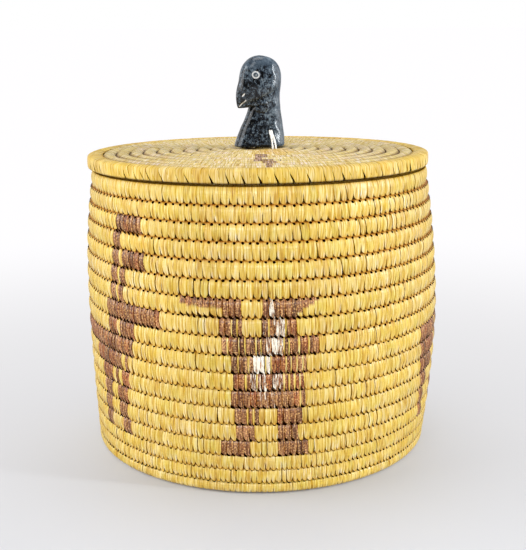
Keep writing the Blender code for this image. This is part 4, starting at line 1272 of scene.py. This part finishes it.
# ------------------------------------------------------------------ the thread that ties the stone down
def thread_material():
    made = bpy.data.materials.new("white_thread")
    made.use_nodes = True
    nodes, links = made.node_tree.nodes, made.node_tree.links
    shader = nodes["Principled BSDF"]
    uv = nodes.new("ShaderNodeUVMap")
    uv.uv_map = "strand"
    fluff = noise_node(nodes, links, uv.outputs["UV"], (6.0, 1.4, 1.0), 4.0, 0.7)
    colour = ramp_node(nodes, links, fluff, [(0.30, tuple(lin(214, 210, 200))), (0.48, tuple(lin(248, 247, 244))),
                                             (0.70, tuple(lin(254, 254, 252)))])
    links.new(colour, shader.inputs["Base Color"])
    shader.inputs["Roughness"].default_value = 0.75
    shader.inputs["Specular IOR Level"].default_value = 0.2
    bump = nodes.new("ShaderNodeBump")
    bump.inputs["Strength"].default_value = 0.4
    bump.inputs["Distance"].default_value = 0.0001
    links.new(fluff, bump.inputs["Height"])
    links.new(bump.outputs["Normal"], shader.inputs["Normal"])
    return made


THREAD = thread_material()


def spun(name, tracks, radius, closed=False):
    """Two-ply thread along each track: a lobed section that turns as it goes."""
    verts, faces, uvs, bakes = [], [], [], []
    base, band = 0, 1.0 / len(tracks)
    for number, track in enumerate(tracks):
        track = [Vector(p) for p in track]
        dense = []
        count = len(track)
        for i in range(count if closed else count - 1):
            get = (lambda k: track[k % count]) if closed else (lambda k: track[min(max(k, 0), count - 1)])
            p0, p1, p2, p3 = get(i - 1), get(i), get(i + 1), get(i + 2)
            steps = max(3, int((p2 - p1).length / 0.00022))
            for k in range(steps):
                t = k / steps
                dense.append(0.5 * (2 * p1 + (p2 - p0) * t + (2 * p0 - 5 * p1 + 4 * p2 - p3) * t * t
                                    + (3 * p1 - p0 - 3 * p2 + p3) * t ** 3))
        if not closed:
            dense.append(track[-1])
        n, sides = len(dense), 14
        length, side_dir = 0.0, None
        for i, p in enumerate(dense):
            ahead = dense[(i + 1) % n] if closed or i < n - 1 else p
            behind = dense[i - 1] if closed or i > 0 else p
            along = (ahead - behind).normalized()
            if side_dir is None:
                side_dir = along.orthogonal().normalized()
            side_dir = (side_dir - along * side_dir.dot(along)).normalized()
            other = along.cross(side_dir)
            if i:
                length += (p - dense[i - 1]).length
            turn = length / 0.0024 * math.pi
            for k in range(sides):
                a = 2.0 * math.pi * k / sides
                lobe = abs(math.cos(a - turn))
                r = radius * (0.80 + 0.24 * lobe)
                verts.append(p + side_dir * (r * math.cos(a)) + other * (r * math.sin(a)))
                uvs.append(((a - turn) * radius * 1000.0, length * 1000.0))
                bakes.append((i / n, (number + 0.05 + 0.9 * k / sides) * band))
        rings = n if closed else n - 1
        for i in range(rings):
            for k in range(sides):
                a0, a1 = base + i * sides + k, base + i * sides + (k + 1) % sides
                b0 = base + ((i + 1) % n) * sides + k
                b1 = base + ((i + 1) % n) * sides + (k + 1) % sides
                faces.append((a0, a1, b1, b0))
        if not closed:
            faces.append(tuple(base + k for k in range(sides - 1, -1, -1)))
            faces.append(tuple(base + (n - 1) * sides + k for k in range(sides)))
        base += n * sides
    mesh = bpy.data.meshes.new(name)
    mesh.from_pydata([tuple(v) for v in verts], [], faces)
    for key, values in (("OFBake", bakes), ("strand", uvs)):
        layer = mesh.uv_layers.new(name=key)
        layer.data.foreach_set("uv", np.array([values[loop.vertex_index] for loop in mesh.loops], np.float32).ravel())
    mesh.update()
    mesh.shade_smooth()
    return mesh


THREAD_RADIUS = 0.00058
IN_HOLE = 0.00055
up = FINIAL_FOOT + HOLE_Z
tracks = []
for foot_x, shift_x in ((0.0056, -1.0), (0.0075, 1.0)):
    def run(side):
        return [
            (TIE_X + shift_x * 0.0006, side * (KNOT_R + 0.0002), KNOT_Z),
            (foot_x, side * (TIE_Y - 0.0024), KNOT_Z + 0.0001),
            (foot_x, side * (TIE_Y - 0.0006), KNOT_Z + 0.0008),
            (foot_x, side * (TIE_Y - 0.0002), KNOT_Z + 0.0030),
            (foot_x, side * (TIE_Y - 0.0003), FINIAL_FOOT - 0.0004),
            (0.5 * (foot_x + HOLE_X) + shift_x * 0.0002, side * 0.0089, FINIAL_FOOT + 0.0052),
            (HOLE_X + shift_x * IN_HOLE, side * 0.00835, up - 0.0016),
            (HOLE_X + shift_x * IN_HOLE, side * 0.0077, up - 0.0004),
            (HOLE_X + shift_x * IN_HOLE, side * 0.0064, up - 0.0001),
        ]
    tracks.append(run(-1.0) + list(reversed(run(1.0))))
thread_mesh = spun("spun_tie_thread", tracks, THREAD_RADIUS)
belongs(new_object("spun_tie_thread", thread_mesh, THREAD, STONE_MATRIX), "finial_tie_thread", "lid")
loop = []
for k in range(36):
    t = 2.0 * math.pi * k / 36
    q = Vector(((2.0 + math.cos(3 * t)) * math.cos(2 * t), (2.0 + math.cos(3 * t)) * math.sin(2 * t), 1.25 * math.sin(3 * t)))
    loop.append((TIE_X + q.x * 0.00050, q.y * 0.00050, KNOT_Z + q.z * 0.00095))
knot_mesh = spun("tied_knot", [loop], THREAD_RADIUS * 1.05, closed=True)
belongs(new_object("tied_knot", knot_mesh, THREAD, STONE_MATRIX), "finial_tie_knot", "lid")

# the low front light is there for the grass; on the polished stone it would show as grey patches
spared = bpy.data.collections.new("not_lit_by_the_band")
spared.objects.link(stone)
band.light_linking.receiver_collection = spared
spared.collection_objects[0].light_linking.link_state = "EXCLUDE"
